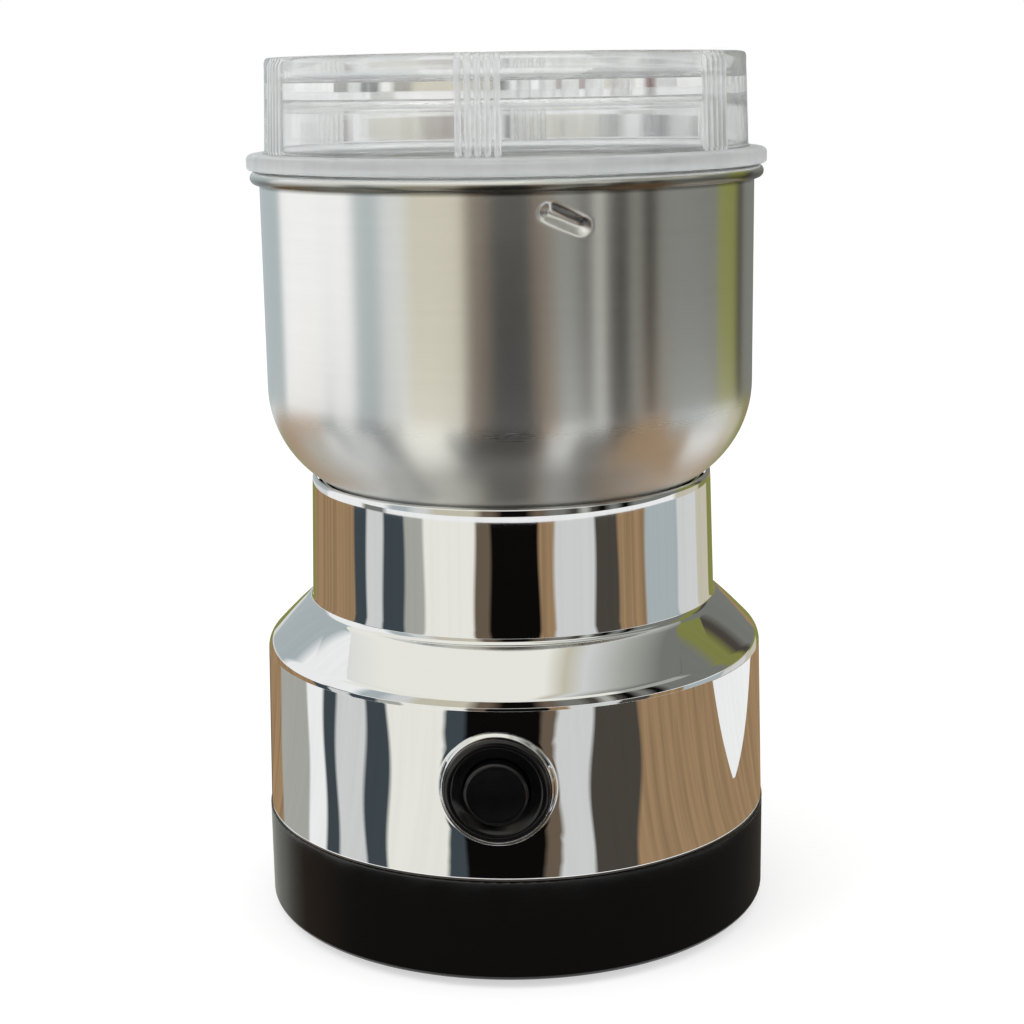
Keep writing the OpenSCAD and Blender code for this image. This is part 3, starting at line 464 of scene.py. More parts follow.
draft = 0.75
z_seam = z_skirt + 36
lip_card_foot, bowl_card_foot, bowl_card_top, card_wall_top = 40, 57, 185, 255
z_bowl_middle = 125
far_off, ceiling_z = 3000, 640
ceiling_bands = [
    (-far_off, "mist"), (-900, "pale"), (-480, "cream"), (-250, "cream"), (0, "cream"), (120, "cream"),
    (190, "linen"), (260, "pale"), (400, "stone"), (560, "grey"), (650, "grey"), (700, "dusk"),
    (800, "moss"), (860, "linen"), (far_off, "linen")
]

mirrored_card("card_base", BASE_BANDS, base_r, 1.0, z_skirt, soft=5)
mirrored_card("card_skirt", SKIRT_BANDS, skirt_r, z_skirt, z_seam, draft)
mirrored_card("card_neck", NECK_BANDS, neck_r, z_seam, z_lip, draft, sway=0.3)
wedge_card("card_wedge", "white", skirt_r, [(z_skirt + 12, 56, 57), (z_seam, 48, 68)])
wall_card("card_lip", LIP_BANDS, neck_r, z_lip, lip_card_foot, bowl_card_foot, 2.0)
wall_card("card_bowl", BOWL_BANDS, bowl_r, z_bowl_middle, bowl_card_foot, bowl_card_top)
wall_card("card_above", ABOVE_BANDS, bowl_r, z_bowl_middle, bowl_card_top, card_wall_top)
flat_card("card_ceiling", [x for x, _ in ceiling_bands], (-far_off, far_off), (ceiling_z, ceiling_z),
          [paint(colour, 0.0) for _, colour in ceiling_bands])
flat_card("card_rear", np.linspace(-60, 60, 5), (40, card_wall_r + 3, card_wall_r + 3), (0.1, 0.1, 60),
          [paint("linen")] * 5)
print("cards set")

# %% [markdown]
# The lid is clear, so what stands behind it shows. Two more cards stand upright behind it, and only
# rays that were bent on their way through the plastic see them.
# %% Cards behind the lid

LOW_BANDS = [
    (-76, "pale"), (-57, "mauve"), (-50, "white"), (-44, "linen"), (-26, "mauve"), (-13, "white"),
    (0, "black"), (2, "linen"), (28, "grey"), (36, "white"), (42, "slate"), (53, "pale"), (62, "grey")
]
HIGH_BANDS = [
    (-76, "white"), (-57, "grey"), (-50, "white"), (-20, "pale"), (3, "white"), (35, "stone"), (47, "white")
]


def card_behind(name, bands, low, high):
    """Upright card 180 mm behind the axis, square to the camera; its bands are in millimetres."""
    s, paints = band_columns(bands, 76, 1.6, 10)
    sideways = np.array([np.cos(camera_turn), np.sin(camera_turn), 0])
    behind = 180.0 * np.array([-np.sin(camera_turn), np.cos(camera_turn), 0])
    heights = np.array([low, high])[:, None, None] * np.array([0, 0, 1])
    card = make_card(name, behind + s[None, :, None] * sideways + heights, paints)
    card.visible_glossy = False
    card.visible_transmission = True


z_dark_top = 160.5
card_behind("card_behind_wall", LOW_BANDS, 139, z_dark_top)
card_behind("card_behind_rim", HIGH_BANDS, z_dark_top, 178)
print("cards behind the lid set")

# %% [markdown]
# The floor is a plain pale sheet that only takes the object's shadow. The room is white wherever
# the camera, a mirror or the clear lid looks, and gives the matt surfaces an even, lower light. A
# wide soft lamp hangs above on the left and gives the shadow its side, and a weaker one on the
# right fills it up.
# %% Floor, room and lamps


def strength_when_seen(tree, unseen, seen):
    """One strength for rays from the camera, a mirror or clear plastic, another for the rest."""
    path = add(tree, "LightPath").outputs
    eye = add(tree, "Math", {"operation": "MAXIMUM"}, {0: path["Is Camera Ray"], 1: path["Is Glossy Ray"]})
    eye = add(tree, "Math", {"operation": "MAXIMUM"}, {0: eye, 1: path["Is Transmission Ray"]})
    return add(tree, "MapRange", limits(unseen, seen), {"Value": eye})


def floor_material():
    """Pale matt paper, lifted to white where it is seen, so that only the shadow stays."""
    material, tree = new_material("floor_paper")
    tone = add(tree, "ValToRGB", {"stops": [(0.3, "#cbcbcb"), (0.7, "#cfcfcf")]},
               {"Fac": pattern(tree, 0.6, 3.0)})
    matt = add(tree, "BsdfPrincipled", {"Roughness": 0.9, "Specular IOR Level": 0.1}, {"Base Color": tone})
    lift = add(tree, "Emission", {"Color": (1, 1, 1, 1)}, {"Strength": strength_when_seen(tree, 0.0, 0.55)})
    finish_surface(tree, add(tree, "AddShader", links={0: matt, 1: lift}))
    return material


def room():
    """White to the camera, to mirrors and through clear plastic; a plain level for matt surfaces."""
    world = bpy.data.worlds.new("room")
    world.use_nodes = True
    tree = world.node_tree
    tree.nodes.clear()
    light = add(tree, "Background", {"Color": (1, 1, 1, 1)},
                {"Strength": strength_when_seen(tree, 0.78, 1.0)})
    add(tree, "OutputWorld", links={"Surface": light})
    bpy.context.scene.world = world


def lamp(name, place, size, power):
    """A soft square lamp that looks at the body's middle; mirrors don't see it."""
    data = bpy.data.lights.new(name, "AREA")
    data.shape = "SQUARE"
    data.size = size
    data.energy = power
    item = put_in_scene(name, data)
    item.location = place
    item.rotation_euler = (Vector((0, 0, 0.08)) - item.location).to_track_quat("-Z", "Y").to_euler()
    item.visible_glossy = False


floor_corners = far_off * np.array([(-1, -1, 0), (1, -1, 0), (1, 1, 0), (-1, 1, 0)])
floor = put_in_scene("floor", mesh_in_metres("floor", floor_corners, np.array([(0, 1, 2, 3)])))
floor.data.materials.append(floor_material())
room()
lamp("lamp_left", (-0.55, -0.35, 0.75), 0.5, 2.0)
lamp("lamp_right", (0.6, -0.2, 0.5), 0.5, 0.8)
bpy.context.scene.view_settings.view_transform = "Standard"
print("stage ready")

# %% [markdown]
# ## Housing
#
# The real housing is one moulding in ABS, plated with copper, nickel and chrome. Plating copies
# the moulding's surface, and a moulding is never quite true, so its mirror is a little wavy. The
# outline goes up the skirt, round the corner, over the shoulder and up the neck to the lip.
# %% Outline of the housing

wall = 2.2
z_corner, corner_round = 53.0, 4.0
z_neck = 62.9
lip_r, lip_round = neck_r - draft, 0.7
field_half = 14.0


def between(low, high, count):
    """Points on a straight line, both ends included."""
    return np.linspace(low, high, count + 1)


def smooth_bend(a, corner, b, count):
    """Quadratic curve from a to b that is drawn towards the corner."""
    t = np.linspace(0, 1, count + 1)[:, None]
    a, corner, b = map(np.asarray, (a, corner, b))
    return (1 - t) ** 2 * a + 2 * t * (1 - t) * corner + t ** 2 * b


def skirt_radius(z):
    """The skirt draws in by the draft between its foot and its corner."""
    return skirt_r - draft * (z - z_skirt) / (z_corner - z_skirt)


def skirt_points(heights):
    """Outline points of the skirt at these heights."""
    return np.stack([skirt_radius(heights), heights], -1)


field_rows = np.linspace(button_z - field_half, button_z + field_half, 15)
corner = arc(skirt_r - draft - corner_round, z_corner, corner_round, 0, 45, 14)
slope_end = np.array([neck_r + 0.9, z_neck - 0.3])
crown = corner[-1] + 0.65 * (slope_end - corner[-1]) + 0.2
low_part = outline(
    smooth_bend((skirt_r - 0.45, z_skirt), (skirt_r, z_skirt), (skirt_r - 0.01, z_skirt + 0.45), 5),
    skirt_points(np.linspace(z_skirt + 0.8, field_rows[0] - 1, 3)))
high_part = outline(
    skirt_points(field_rows[-1:] + 0.4), corner,
    smooth_bend(corner[-1], crown, slope_end, 10)[1:-1],
    smooth_bend(slope_end, (neck_r + 0.05, z_neck), (neck_r - 0.02, z_neck + 1.1), 8),
    between((neck_r - 0.06, z_neck + 2.5), (lip_r + 0.04, z_lip - 1.8), 5),
    arc(lip_r - lip_round, z_lip - lip_round, lip_round, 0, 90))
print("housing outline has", len(low_part) + len(field_rows) + len(high_part), "points")

# %% [markdown]
# The button sits on a flat round pad, because a round bezel can't lie on a cylinder. The pad grows
# out of the skirt with a soft edge. To model it, a field of the skirt's grid is left out round the
# button and filled with rings that start as the field's edge and end as the bezel's hole.
# %% Chromed housing

TURNS = 240
FIELD_COLS = 26
hole_r = 8.7
pad_top_r, pad_foot_r = bezel_r + 0.2, bezel_r + 0.95
pad_front = skirt_radius(button_z) + 0.3


def button_patch(columns, heights):
    """Rings from the field's edge to the bezel's hole, as (rings, points, 3).

    Each edge point keeps its direction from the button's centre. The distance to the front is
    the skirt's, plus the pad's lift, which goes from 0 to 1 by a smooth step over the pad's edge.
    """
    u = skirt_radius(heights)[:, None] * np.sin(columns)[None, :]
    v = np.repeat(heights[:, None] - button_z, len(columns), 1)
    bottom, right_side = np.stack([u[0, :-1], v[0, :-1]], -1), np.stack([u[:-1, -1], v[:-1, -1]], -1)
    top, left_side = np.stack([u[-1, :0:-1], v[-1, :0:-1]], -1), np.stack([u[:0:-1, 0], v[:0:-1, 0]], -1)
    edge = np.concatenate([bottom, right_side, top, left_side])
    way = edge / np.linalg.norm(edge, axis=1)[:, None]
    start = pad_foot_r + 0.8
    radii = [*np.linspace(start, pad_foot_r, 4), *np.linspace(pad_foot_r, pad_top_r, 10)[1:],
             pad_top_r - 0.2, hole_r + 0.5, hole_r]
    flat = np.array([edge + (way * start - edge) * f for f in (0, 0.33, 0.66)] + [way * r for r in radii])
    distance = np.linalg.norm(flat, axis=-1)
    t = np.clip((pad_foot_r - distance) / (pad_foot_r - pad_top_r), 0, 1)
    lift = t * t * t * (t * (6 * t - 15) + 10)
    skirt = np.sqrt(skirt_radius(flat[..., 1] + button_z) ** 2 - flat[..., 0] ** 2)
    front = skirt + (pad_front - skirt) * lift
    return np.stack([flat[..., 0], -front, flat[..., 1] + button_z], -1)


def housing_shell():
    """The whole outline's grid without the button's field, and the patch that fills the field."""
    rz = np.concatenate([low_part, skirt_points(field_rows), high_part])
    first, last = len(low_part), len(low_part) + len(field_rows) - 1
    turns = even_turns(TURNS) - np.pi / 2 - np.pi * FIELD_COLS / TURNS
    rows, cols = np.meshgrid(np.arange(len(rz) - 1), np.arange(TURNS), indexing="ij")
    kept = ~((rows >= first) & (rows < last) & (cols < FIELD_COLS)).ravel()
    faces = grid_faces(len(rz), TURNS)[kept]
    patch = button_patch(turns[:FIELD_COLS + 1] + np.pi / 2, field_rows)
    patch_faces = grid_faces(*patch.shape[:2]) + len(rz) * TURNS
    points = np.concatenate([revolved(rz, turns).reshape(-1, 3), patch.reshape(-1, 3)])
    return make_piece("housing_shell", points, np.concatenate([faces, patch_faces]), sharp=60)


shell = housing_shell()
thickness = shell.modifiers.new("wall", "SOLIDIFY")
thickness.thickness = wall * MM
thickness.offset = -1
thickness.use_even_offset = True
print("housing faces", len(shell.data.polygons))

# %% [markdown]
# Mirror chrome is a thin hard layer over nickel, so it is a metal with hardly any roughness. Its
# waviness comes from the moulding under it: sink marks a few centimetres long and some hundredths
# of a millimetre deep, and finer flow lines, which bend the straight lines of a reflection.
# %% Chrome


def chrome():
    """Bright chrome plating over a smooth plastic moulding: a mirror whose straight lines waver."""
    material, tree = new_material("chrome_on_abs")
    waves = add(tree, "Bump", {"Distance": 0.03 * MM}, {"Height": pattern(tree, 38, 1.0)})
    ripples = add(tree, "Bump", {"Distance": 0.0022 * MM},
                  {"Height": pattern(tree, 9, 2.0, stretch=(1, 1, 0.5)), "Normal": waves})
    haze = add(tree, "MapRange", limits(0.012, 0.03), {"Value": pattern(tree, 6, 4.0)})
    finish_surface(tree, add(tree, "BsdfPrincipled",
                             {"Metallic": 1.0, "Base Color": linear("#e9eaea")},
                             {"Roughness": haze, "Normal": ripples}))
    return material


shell.data.materials.append(chrome())
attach(shell, "root")
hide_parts("housing")
print("housing plated")

# %% [markdown]
# ## Bowl
#
# The bowl is drawn from stainless sheet, then spun to its rolled rim. Three short slanting ridges
# are pressed inwards below the rim, and the lid's lugs ride on them like on a coarse thread.
# A ridge is a dent shaped like a capsule: deep along its middle line and fading out over 2 mm.
# %% Bowl of drawn steel

steel = 0.8
foot_round = 21.0
bead_r, bead_gap = 1.25, 0.05
bush_hole_r = 8.1
ridge_z = z_rim - 7.1
ridge_slope = np.radians(24)
ridge_half, ridge_depth = 3.0, 1.0
ridge_angles = np.radians([16 + 120 * k for k in range(3)]) - np.pi / 2
BOWL_TURNS = 480


def turn_distance(turns, middle):
    """Signed angle from middle to each turn, between -pi and pi."""
    return np.mod(turns - middle + np.pi, 2 * np.pi) - np.pi


def slanted(turns, middle, radius, heights, level):
    """Distances along and across a line that slants over a wall, from the line's middle point.

    With s round the wall and z above the level: along = s cos q - z sin q, across = s sin q + z cos q.
    """
    s = radius * turn_distance(turns, middle)[None, :]
    z = heights[:, None] - level
    return (s * np.cos(ridge_slope) - z * np.sin(ridge_slope),
            s * np.sin(ridge_slope) + z * np.cos(ridge_slope))


def ridge_dent(turns, heights, reach):
    """How far the wall is pressed in at each height and angle.

    With a along a ridge and c across it, the distance to its middle line is
    d = hypot(max(|a| - half, 0), c), and the dent is depth (1 - (d / reach)^2)^1.6. It gets
    shallower towards the ridge's ends, where the wall resists the press.
    """
    total = np.zeros((len(heights), len(turns)))
    for middle in ridge_angles:
        along, across = slanted(turns, middle, bowl_r, heights, ridge_z)
        d = np.hypot(np.maximum(np.abs(along) - ridge_half, 0), across)
        ends = 1 - 0.45 * np.clip(np.abs(along) / (ridge_half + reach), 0, 1) ** 2
        total += ridge_depth * ends * np.clip(1 - (d / reach) ** 2, 0, 1) ** 1.6
    return total


def bowl_shell():
    """Outside from the bush hole up to the rim, then the inside and the hole's wall back to the start."""
    mid_r, mid_z = bowl_r - foot_round, z_bowl + foot_round
    ridge_rows = np.linspace(ridge_z - 4.2, ridge_z + 4.0, 26)
    rows = np.concatenate([np.linspace(mid_z + 2, ridge_rows[0] - 1.5, 6), ridge_rows])
    inner_r = bowl_r - steel
    outside = outline(
        between((bush_hole_r, z_bowl + 0.1), (mid_r - 1, z_bowl), 5),
        arc(mid_r, mid_z, foot_round, -90, 0, 30),
        np.stack([bowl_r + 0 * rows, rows], -1))
    bead = outline(
        smooth_bend((bowl_r, z_rim - 2.9), (bowl_r, z_rim - 2.35), (bowl_r + 0.12, z_rim - 2.3), 4),
        arc(inner_r + bead_r + bead_gap, z_rim - bead_r, bead_r, -80, 180, 26))
    inside = outline(
        np.stack([inner_r + 0 * rows, rows[::-1]], -1),
        arc(mid_r, mid_z, foot_round - steel, 0, -90, 30),
        between((mid_r - 1, z_bowl + steel), (bush_hole_r, z_bowl + steel), 5))
    turns = even_turns(BOWL_TURNS)
    rz = np.concatenate([outside, bead, inside])
    dent = np.zeros((len(rz), BOWL_TURNS))
    dent[:len(outside)] = ridge_dent(turns, outside[:, 1], 1.95)
    dent[-len(inside):] = ridge_dent(turns, inside[:, 1], 2.4)
    dent[rz[:, 1] < mid_z] = 0
    faces = grid_faces(len(rz) + 1, BOWL_TURNS) % (len(rz) * BOWL_TURNS)
    return make_piece("bowl_shell", revolved(rz, turns, -dent), faces, sharp=45)


def brushed_steel():
    """Stainless steel brushed while it turned, so its scratches run level round the axis.

    A scratch scatters light across itself only, which is up and down here. So the metal is
    anisotropic about a tangent round Z. The scratches are noise over (way round the wall, distance
    from the axis, height), a fifth of a millimetre wide and drawn out 50 times, with coarser ones
    between them, and hardly deep at all, since the piece is buffed after the brush. The wheel
    reaches the curve at the foot less well, so it stays rougher there. A band at the rolled rim
    carries painted shade: its colour is darkened there, in place of the shade under the bead.
    """
    material, tree = new_material("spin_brushed_stainless_steel")
    angle, x, y, height = polar(tree)
    level = add(tree, "CombineXYZ", links={"X": x, "Y": y})
    far = add(tree, "VectorMath", {"operation": "LENGTH"}, {0: level}).outputs["Value"]
    way_round = add(tree, "Math", {"operation": "MULTIPLY", 1: bowl_r * MM}, {0: angle})
    place = add(tree, "CombineXYZ", links={"X": way_round, "Y": far, "Z": height})
    fine = pattern(tree, 0.22, 3.0, stretch=(0.02, 0.5, 1), place=place, rough=0.7)
    coarse = pattern(tree, 1.4, 2.0, stretch=(0.04, 0.5, 1), place=place)
    scratches = add(tree, "Bump", {"Distance": 0.00003 * MM}, {"Height": fine})
    scratches = add(tree, "Bump", {"Distance": 0.00006 * MM}, {"Height": coarse, "Normal": scratches})
    curve = add(tree, "MapRange", limits(0.2, 0.0, (z_bowl + 4) * MM, (z_bowl + 22) * MM), {"Value": height})
    even = add(tree, "MapRange", limits(0.215, 0.24, 0.3, 0.7), {"Value": fine})
    rough = add(tree, "Math", {"operation": "ADD"}, {0: even, 1: curve})
    tone = add(tree, "ValToRGB", {"stops": [(0.3, "#efefed"), (0.7, "#f1f1ef")]}, {"Fac": coarse})
    # Painted shade: a band at the rolled rim is darkened in colour, in place of the shade under the bead.
    near_rim = add(tree, "MapRange", limits(0.0, 1.0, (z_rim - 4) * MM, z_rim * MM), {"Value": height})
    dark = [(0.2, "#ffffff"), (0.4, "#7d7a72"), (0.62, "#8f8c84"), (0.85, "#ffffff")]
    rim_painted_shade = add(tree, "ValToRGB", {"stops": dark}, {"Fac": near_rim})
    tone_with_painted_shade = add(tree, "Mix", {"data_type": "RGBA", "blend_type": "MULTIPLY", 0: 1.0}, {6: tone, 7: rim_painted_shade})
    spin = add(tree, "Tangent", {"direction_type": "RADIAL", "axis": "Z"})
    finish_surface(tree, add(tree, "BsdfPrincipled",
                             {"Metallic": 1.0, "Anisotropic": 0.85, "Anisotropic Rotation": 0.25},
                             {"Roughness": rough, "Normal": scratches, "Base Color": tone_with_painted_shade.outputs[2],
                              "Tangent": spin}))
    return material


bowl = bowl_shell()
bowl.data.materials.append(brushed_steel())
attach(bowl, "root")
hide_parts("bowl")
print("bowl faces", len(bowl.data.polygons))

# %% [markdown]
# ## Lid
#
# The lid is moulded in clear polystyrene or a copolymer like it, in one shot with its grip ribs and
# lugs. Its top is sunk, so that a hand turns it by the rim. The columns of the surface are close
# together only where a rib or a lug is, because the rest is plainly round.
# %% Lid

z_flange = z_rim + 0.3
z_grip = z_flange + 2.9
z_spigot = z_flange - 14.5
z_dish = z_lid - 4.8
z_plate = z_dish - 2.9
flange_r, grip_r, grip_top_r = 49.6, 46.1, 45.5
spigot_r, lid_wall = 44.5, 1.8
seal_out = corners("lid_seal")[1][0]
seal_in = seal_out - 1.6
seal_room, seal_depth = 0.05, 1.05
rib_r, rib_step = 0.6, 2.1
rib_angles = np.radians([60 * g + rib_step * (k - 2) - 2 for g in range(6) for k in range(5)]) - np.pi / 2
lug_out = 46.2
lug_z = ridge_z - (2.3 + 0.3 + 1) / np.cos(ridge_slope)
lug_half, lug_half_height, lug_edge = 4.1, 1.1, 0.4
LUG_ROWS, FADE_ROWS = 33, 6


def lid_turns():
    """Angles round the lid: every 1.5 degrees, every 0.15 over a rib, every 0.35 over a lug."""
    angles = [np.radians(np.arange(0, 360, 1.5))]
    for middle in rib_angles:
        angles.append(middle + np.radians(np.linspace(-0.9, 0.9, 13)))
    for middle in ridge_angles:
        angles.append(middle + np.radians(np.arange(-6.2, 6.3, 0.35)))
    every = np.sort(np.mod(np.concatenate(angles), 2 * np.pi))
    return every[np.diff(every, prepend=every[-1] - 2 * np.pi) > np.radians(0.06)]


def rib_lift(turns, heights):
    """A rib is a round bar half sunk in the wall, lift = sqrt(r^2 - s^2), that fades out at its top."""
    total = np.zeros(len(turns))
    for middle in rib_angles:
        s = grip_r * turn_distance(turns, middle)
        total = np.maximum(total, np.sqrt(np.clip(rib_r ** 2 - s ** 2, 0, None)))
    t = np.clip((z_lid - 0.9 - heights) / 1.2, 0, 1)
    return np.sqrt(t * (2 - t))[:, None] * total[None, :]


def lug_lift(turns, heights):
    """A lug is a slanting rib on the spigot with a flat face: one slope along it times one across."""
    total = np.zeros((len(heights), len(turns)))
    for middle in ridge_angles:
        along, across = slanted(turns, middle, spigot_r, heights, lug_z)
        ends = np.clip((lug_half - np.abs(along)) / lug_edge, 0, 1)
        total += ends * np.clip((lug_half_height - np.abs(across)) / lug_edge, 0, 1)
    return (lug_out - spigot_r) * total


def lid_outline():
    """From the plate's underside down the inside, round the spigot's foot, and up the outside."""
    dish_r = grip_top_r - lid_wall
    inside = outline(
        between((0, z_plate), (dish_r - 4, z_plate), 6),
        smooth_bend((dish_r - 2.4, z_plate), (dish_r + 0.3, z_plate), (dish_r + 0.4, z_plate - 2.4), 7),
        between((grip_r - lid_wall - 0.1, z_grip + 2), (grip_r - lid_wall, z_grip), 1),
        smooth_bend((grip_r - lid_wall, z_grip - 0.4), (grip_r - lid_wall, z_flange + 1),
                    (spigot_r - lid_wall, z_flange - 0.6), 6),
        arc(spigot_r - 0.9, z_spigot + 0.9, 0.9, 180, 360, 10))
    lug_rows = np.linspace(lug_z - 3.2, lug_z + 3.2, LUG_ROWS)
    below = outline(
        np.stack([spigot_r + 0 * lug_rows, lug_rows], -1),
        smooth_bend((spigot_r, z_flange - 0.8), (spigot_r, z_flange), (spigot_r + 0.8, z_flange), 4),
        [(seal_in - seal_room, z_flange), (seal_in - seal_room, z_flange + seal_depth)],
        [(seal_out + seal_room, z_flange + seal_depth), (seal_out + seal_room, z_flange)],
        arc(flange_r - 0.5, z_flange + 0.5, 0.5, -90, 0, 5),
        arc(flange_r - 1.0, z_grip - 1.0, 1.0, 0, 90, 8),
        smooth_bend((grip_r + 0.9, z_grip), (grip_r, z_grip), (grip_r - 0.02, z_grip + 0.9), FADE_ROWS))
    grip = outline(
        between((grip_r - 0.04, z_grip + 1.2), (grip_top_r + 0.08, z_lid - 3.2), 4),
        between((grip_top_r + 0.04, z_lid - 2.6), (grip_top_r + 0.04, z_lid - 1.0), 7))
    top = outline(
        arc(grip_top_r - 0.8, z_lid - 0.8, 0.8, 0, 90),
        arc(dish_r + 0.5, z_lid - 0.5, 0.5, 90, 180, 5),
        smooth_bend((dish_r - 0.2, z_dish + 1.7), (dish_r - 0.3, z_dish), (dish_r - 2, z_dish), 7),
        between((dish_r - 4, z_dish), (0, z_dish), 6))
    return inside, below, grip, top


def lid_shell():
    """The turned outline with lugs and ribs lifted out; a rib fades in over the bend at its foot."""
    inside, below, grip, top = lid_outline()
    turns = lid_turns()
    rz = np.concatenate([inside, below, grip, top])
    lift = np.zeros((len(rz), len(turns)))
    lugs, ribs = len(inside), len(inside) + len(below)
    lift[lugs:lugs + LUG_ROWS] = lug_lift(turns, below[:LUG_ROWS, 1])
    lift[ribs:ribs + len(grip)] = rib_lift(turns, grip[:, 1])
    fade = np.linspace(0, 1, FADE_ROWS)[:, None]
    lift[ribs - FADE_ROWS:ribs] = rib_lift(turns, below[-FADE_ROWS:, 1]) * fade
    piece = make_piece("lid_shell", revolved(rz, turns, lift), grid_faces(len(rz), len(turns)), sharp=35)
    mark_worn_parts(piece)
    return piece


def mark_worn_parts(piece):
    """An attribute for what hands and the rim rub: 1 on the ribs, 0.9 on the flange, else 0."""
    places = np.empty(3 * len(piece.data.vertices), np.float32)
    piece.data.vertices.foreach_get("co", places)
    x, y, z = places.reshape(-1, 3).T / MM
    s = np.min([np.abs(turn_distance(np.arctan2(y, x), m)) for m in rib_angles], axis=0) * grip_r
    r = np.hypot(x, y)
    outside = (r > grip_top_r - 0.3) & (z > z_grip - 0.2)
    worn = np.where(outside, np.clip(1.3 - s / rib_r, 0, 1), 0.0)
    flange = (r > grip_r + 0.2) & (z < z_grip + 0.2) & (z > z_flange - 0.2)
    worn = np.where(flange, 0.9, worn).astype(np.float32)
    piece.data.attributes.new("worn", "FLOAT", "POINT").data.foreach_set("value", worn)


def clear_styrene():
    """Clear styrene, IOR 1.57, under the thin white veil that wear and washing leave on it.

    The wall is thin, so part of the light goes straight through: a transparent share is mixed in.
    The veil scatters light both back and through, in upright streaks where water ran off. It is
    thicker where the attribute "worn" says so.
    """
    material, tree = new_material("clear_injection_moulded_styrene")
    streaks = pattern(tree, 7, 3.0, stretch=(1, 1, 0.2))
    rough = add(tree, "MapRange", limits(0.01, 0.04, 0.35, 0.75), {"Value": streaks})
    flow = add(tree, "Bump", {"Distance": 0.01 * MM}, {"Height": pattern(tree, 14, 2.0)})
    glass = add(tree, "BsdfPrincipled",
                {"Transmission Weight": 1.0, "IOR": 1.57, "Base Color": linear("#fdfefe")},
                {"Roughness": rough, "Normal": flow})
    straight = add(tree, "BsdfTransparent", {"Color": linear("#fbfcfc")})
    thin = add(tree, "MixShader", {0: 0.15}, {1: glass, 2: straight})
    back = add(tree, "BsdfDiffuse", {"Color": linear("#fdffff")})
    through = add(tree, "BsdfTranslucent", {"Color": linear("#fdffff")})
    veil = add(tree, "MixShader", {0: 0.5}, {1: back, 2: through})
    worn = add(tree, "Attribute", {"attribute_name": "worn"}).outputs["Fac"]
    thinnest = add(tree, "MapRange", limits(0.03, 0.14, 0.3, 0.7), {"Value": streaks})
    share = add(tree, "Math", {"operation": "MULTIPLY_ADD", 1: 0.55}, {0: worn, 2: thinnest})
    finish_surface(tree, add(tree, "MixShader", links={0: share, 1: thin, 2: veil}))
    return material


lid = lid_shell()
lid.data.materials.append(clear_styrene())
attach(lid, "lid")
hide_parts("lid")
print("lid faces", len(lid.data.polygons))

# %% [markdown]
# ## Push button
#
# A black bezel with a dished face is pushed through the pad and held by a nut behind. The cap
# slides in it, hollowed a little for the fingertip, and stands out of it.
# %% Bezel and cap

cap_r, cap_edge = 5.9, 0.7


def bezel_outline():
    """From the bore's back forwards, over the dished face and the round edge, and back outside."""
    bore, face, edge = cap_r + 0.15, bezel_front, bezel_r
    return outline(
        [(bore, pad_front - 5.4), (bore, pad_front - 0.35)],
        smooth_bend((bore, pad_front - 0.15), (bore + 0.1, pad_front + 0.1),
                    (bore + 0.5, pad_front + 0.13), 4),
        smooth_bend((edge - 1.9, face - 0.3), (edge - 1.5, face), (edge - 1.2, face), 5),
        smooth_bend((edge - 1.1, face), (edge - 0.35, face - 0.06), (edge - 0.12, face - 0.42), 7),
        smooth_bend((edge - 0.1, face - 0.46), (edge, face - 0.6), (edge, face - 0.75), 3),
        [(edge, pad_front + 0.01), (8.6, pad_front + 0.01), (8.6, pad_front - 8.4)],
        [(7.3, pad_front - 8.4), (7.3, pad_front - 5.4), (bore, pad_front - 5.4)])


def cap_outline():
    """From the cap's back over its stop, up its side, over the round rim and into the shallow dish."""
    dish = np.linspace(cap_r - cap_edge, 0, 12)
    dish_z = cap_front - 0.35 * (1 - (dish / dish[0]) ** 2)
    stop = [(0, pad_front - 7.2), (7.0, pad_front - 7.2), (7.0, pad_front - 6.0)]
    return outline(stop, [(cap_r, pad_front - 6.0), (cap_r, cap_front - 1.2)],
                   arc(cap_r - cap_edge, cap_front - cap_edge, cap_edge, 0, 90),
                   np.stack([dish, dish_z], -1)[1:])


def gloss_black(name, tone, rough, grain_mm, depth_mm):
    """Black moulded plastic: a dark body under a surface that copies the mould's polish."""
    material, tree = new_material(name)
    grain = add(tree, "Bump", {"Distance": depth_mm * MM}, {"Height": pattern(tree, grain_mm, 3.0)})
    handling = add(tree, "MapRange", limits(rough * 0.8, rough * 1.35, 0.35, 0.7),
                   {"Value": pattern(tree, 7, 4.0)})
    finish_surface(tree, add(tree, "BsdfPrincipled", {"IOR": 1.5, "Base Color": linear(tone)},
                             {"Roughness": handling, "Normal": grain}))
    return material


bezel = button_piece("button_bezel_ring", bezel_outline()[::-1])
bezel.data.materials.append(gloss_black("polished_black_acetal", "#0b0b0c", 0.16, 0.4, 0.0006))
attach(bezel, "root")
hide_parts("button_bezel")
cap = button_piece("button_cap_top", cap_outline())
cap.data.materials.append(gloss_black("satin_black_acetal", "#0b0b0c", 0.22, 0.3, 0.0008))
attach(cap, "button")
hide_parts("button_cap")
print("button faces", len(bezel.data.polygons) + len(cap.data.polygons))

# %% [markdown]
# ## Base, feet and gland
#
# The base is one black moulding that the chromed shell drops over. Round solids come from the
# construction as loose flat triangles, so a piece that only needs to look round is a copy of them
# with its corners merged and its normals smoothed wherever the surface turns by little.
# %% Rounded copies of solids


def smooth_copy(name, node, angle=32):
    """A merged copy of a solid's triangles, smooth where neighbours turn by less than the angle."""
    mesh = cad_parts[node].data.copy()
    mesh.materials.clear()
    return smooth_piece(name, mesh, 1e-6, angle, thin=True)


def dress(piece, material, body, slot, *nodes):
    """Material, body and the solids that the piece stands for; slot is not used."""
    piece.data.materials.append(material)
    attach(piece, body)
    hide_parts(*nodes)
    return piece


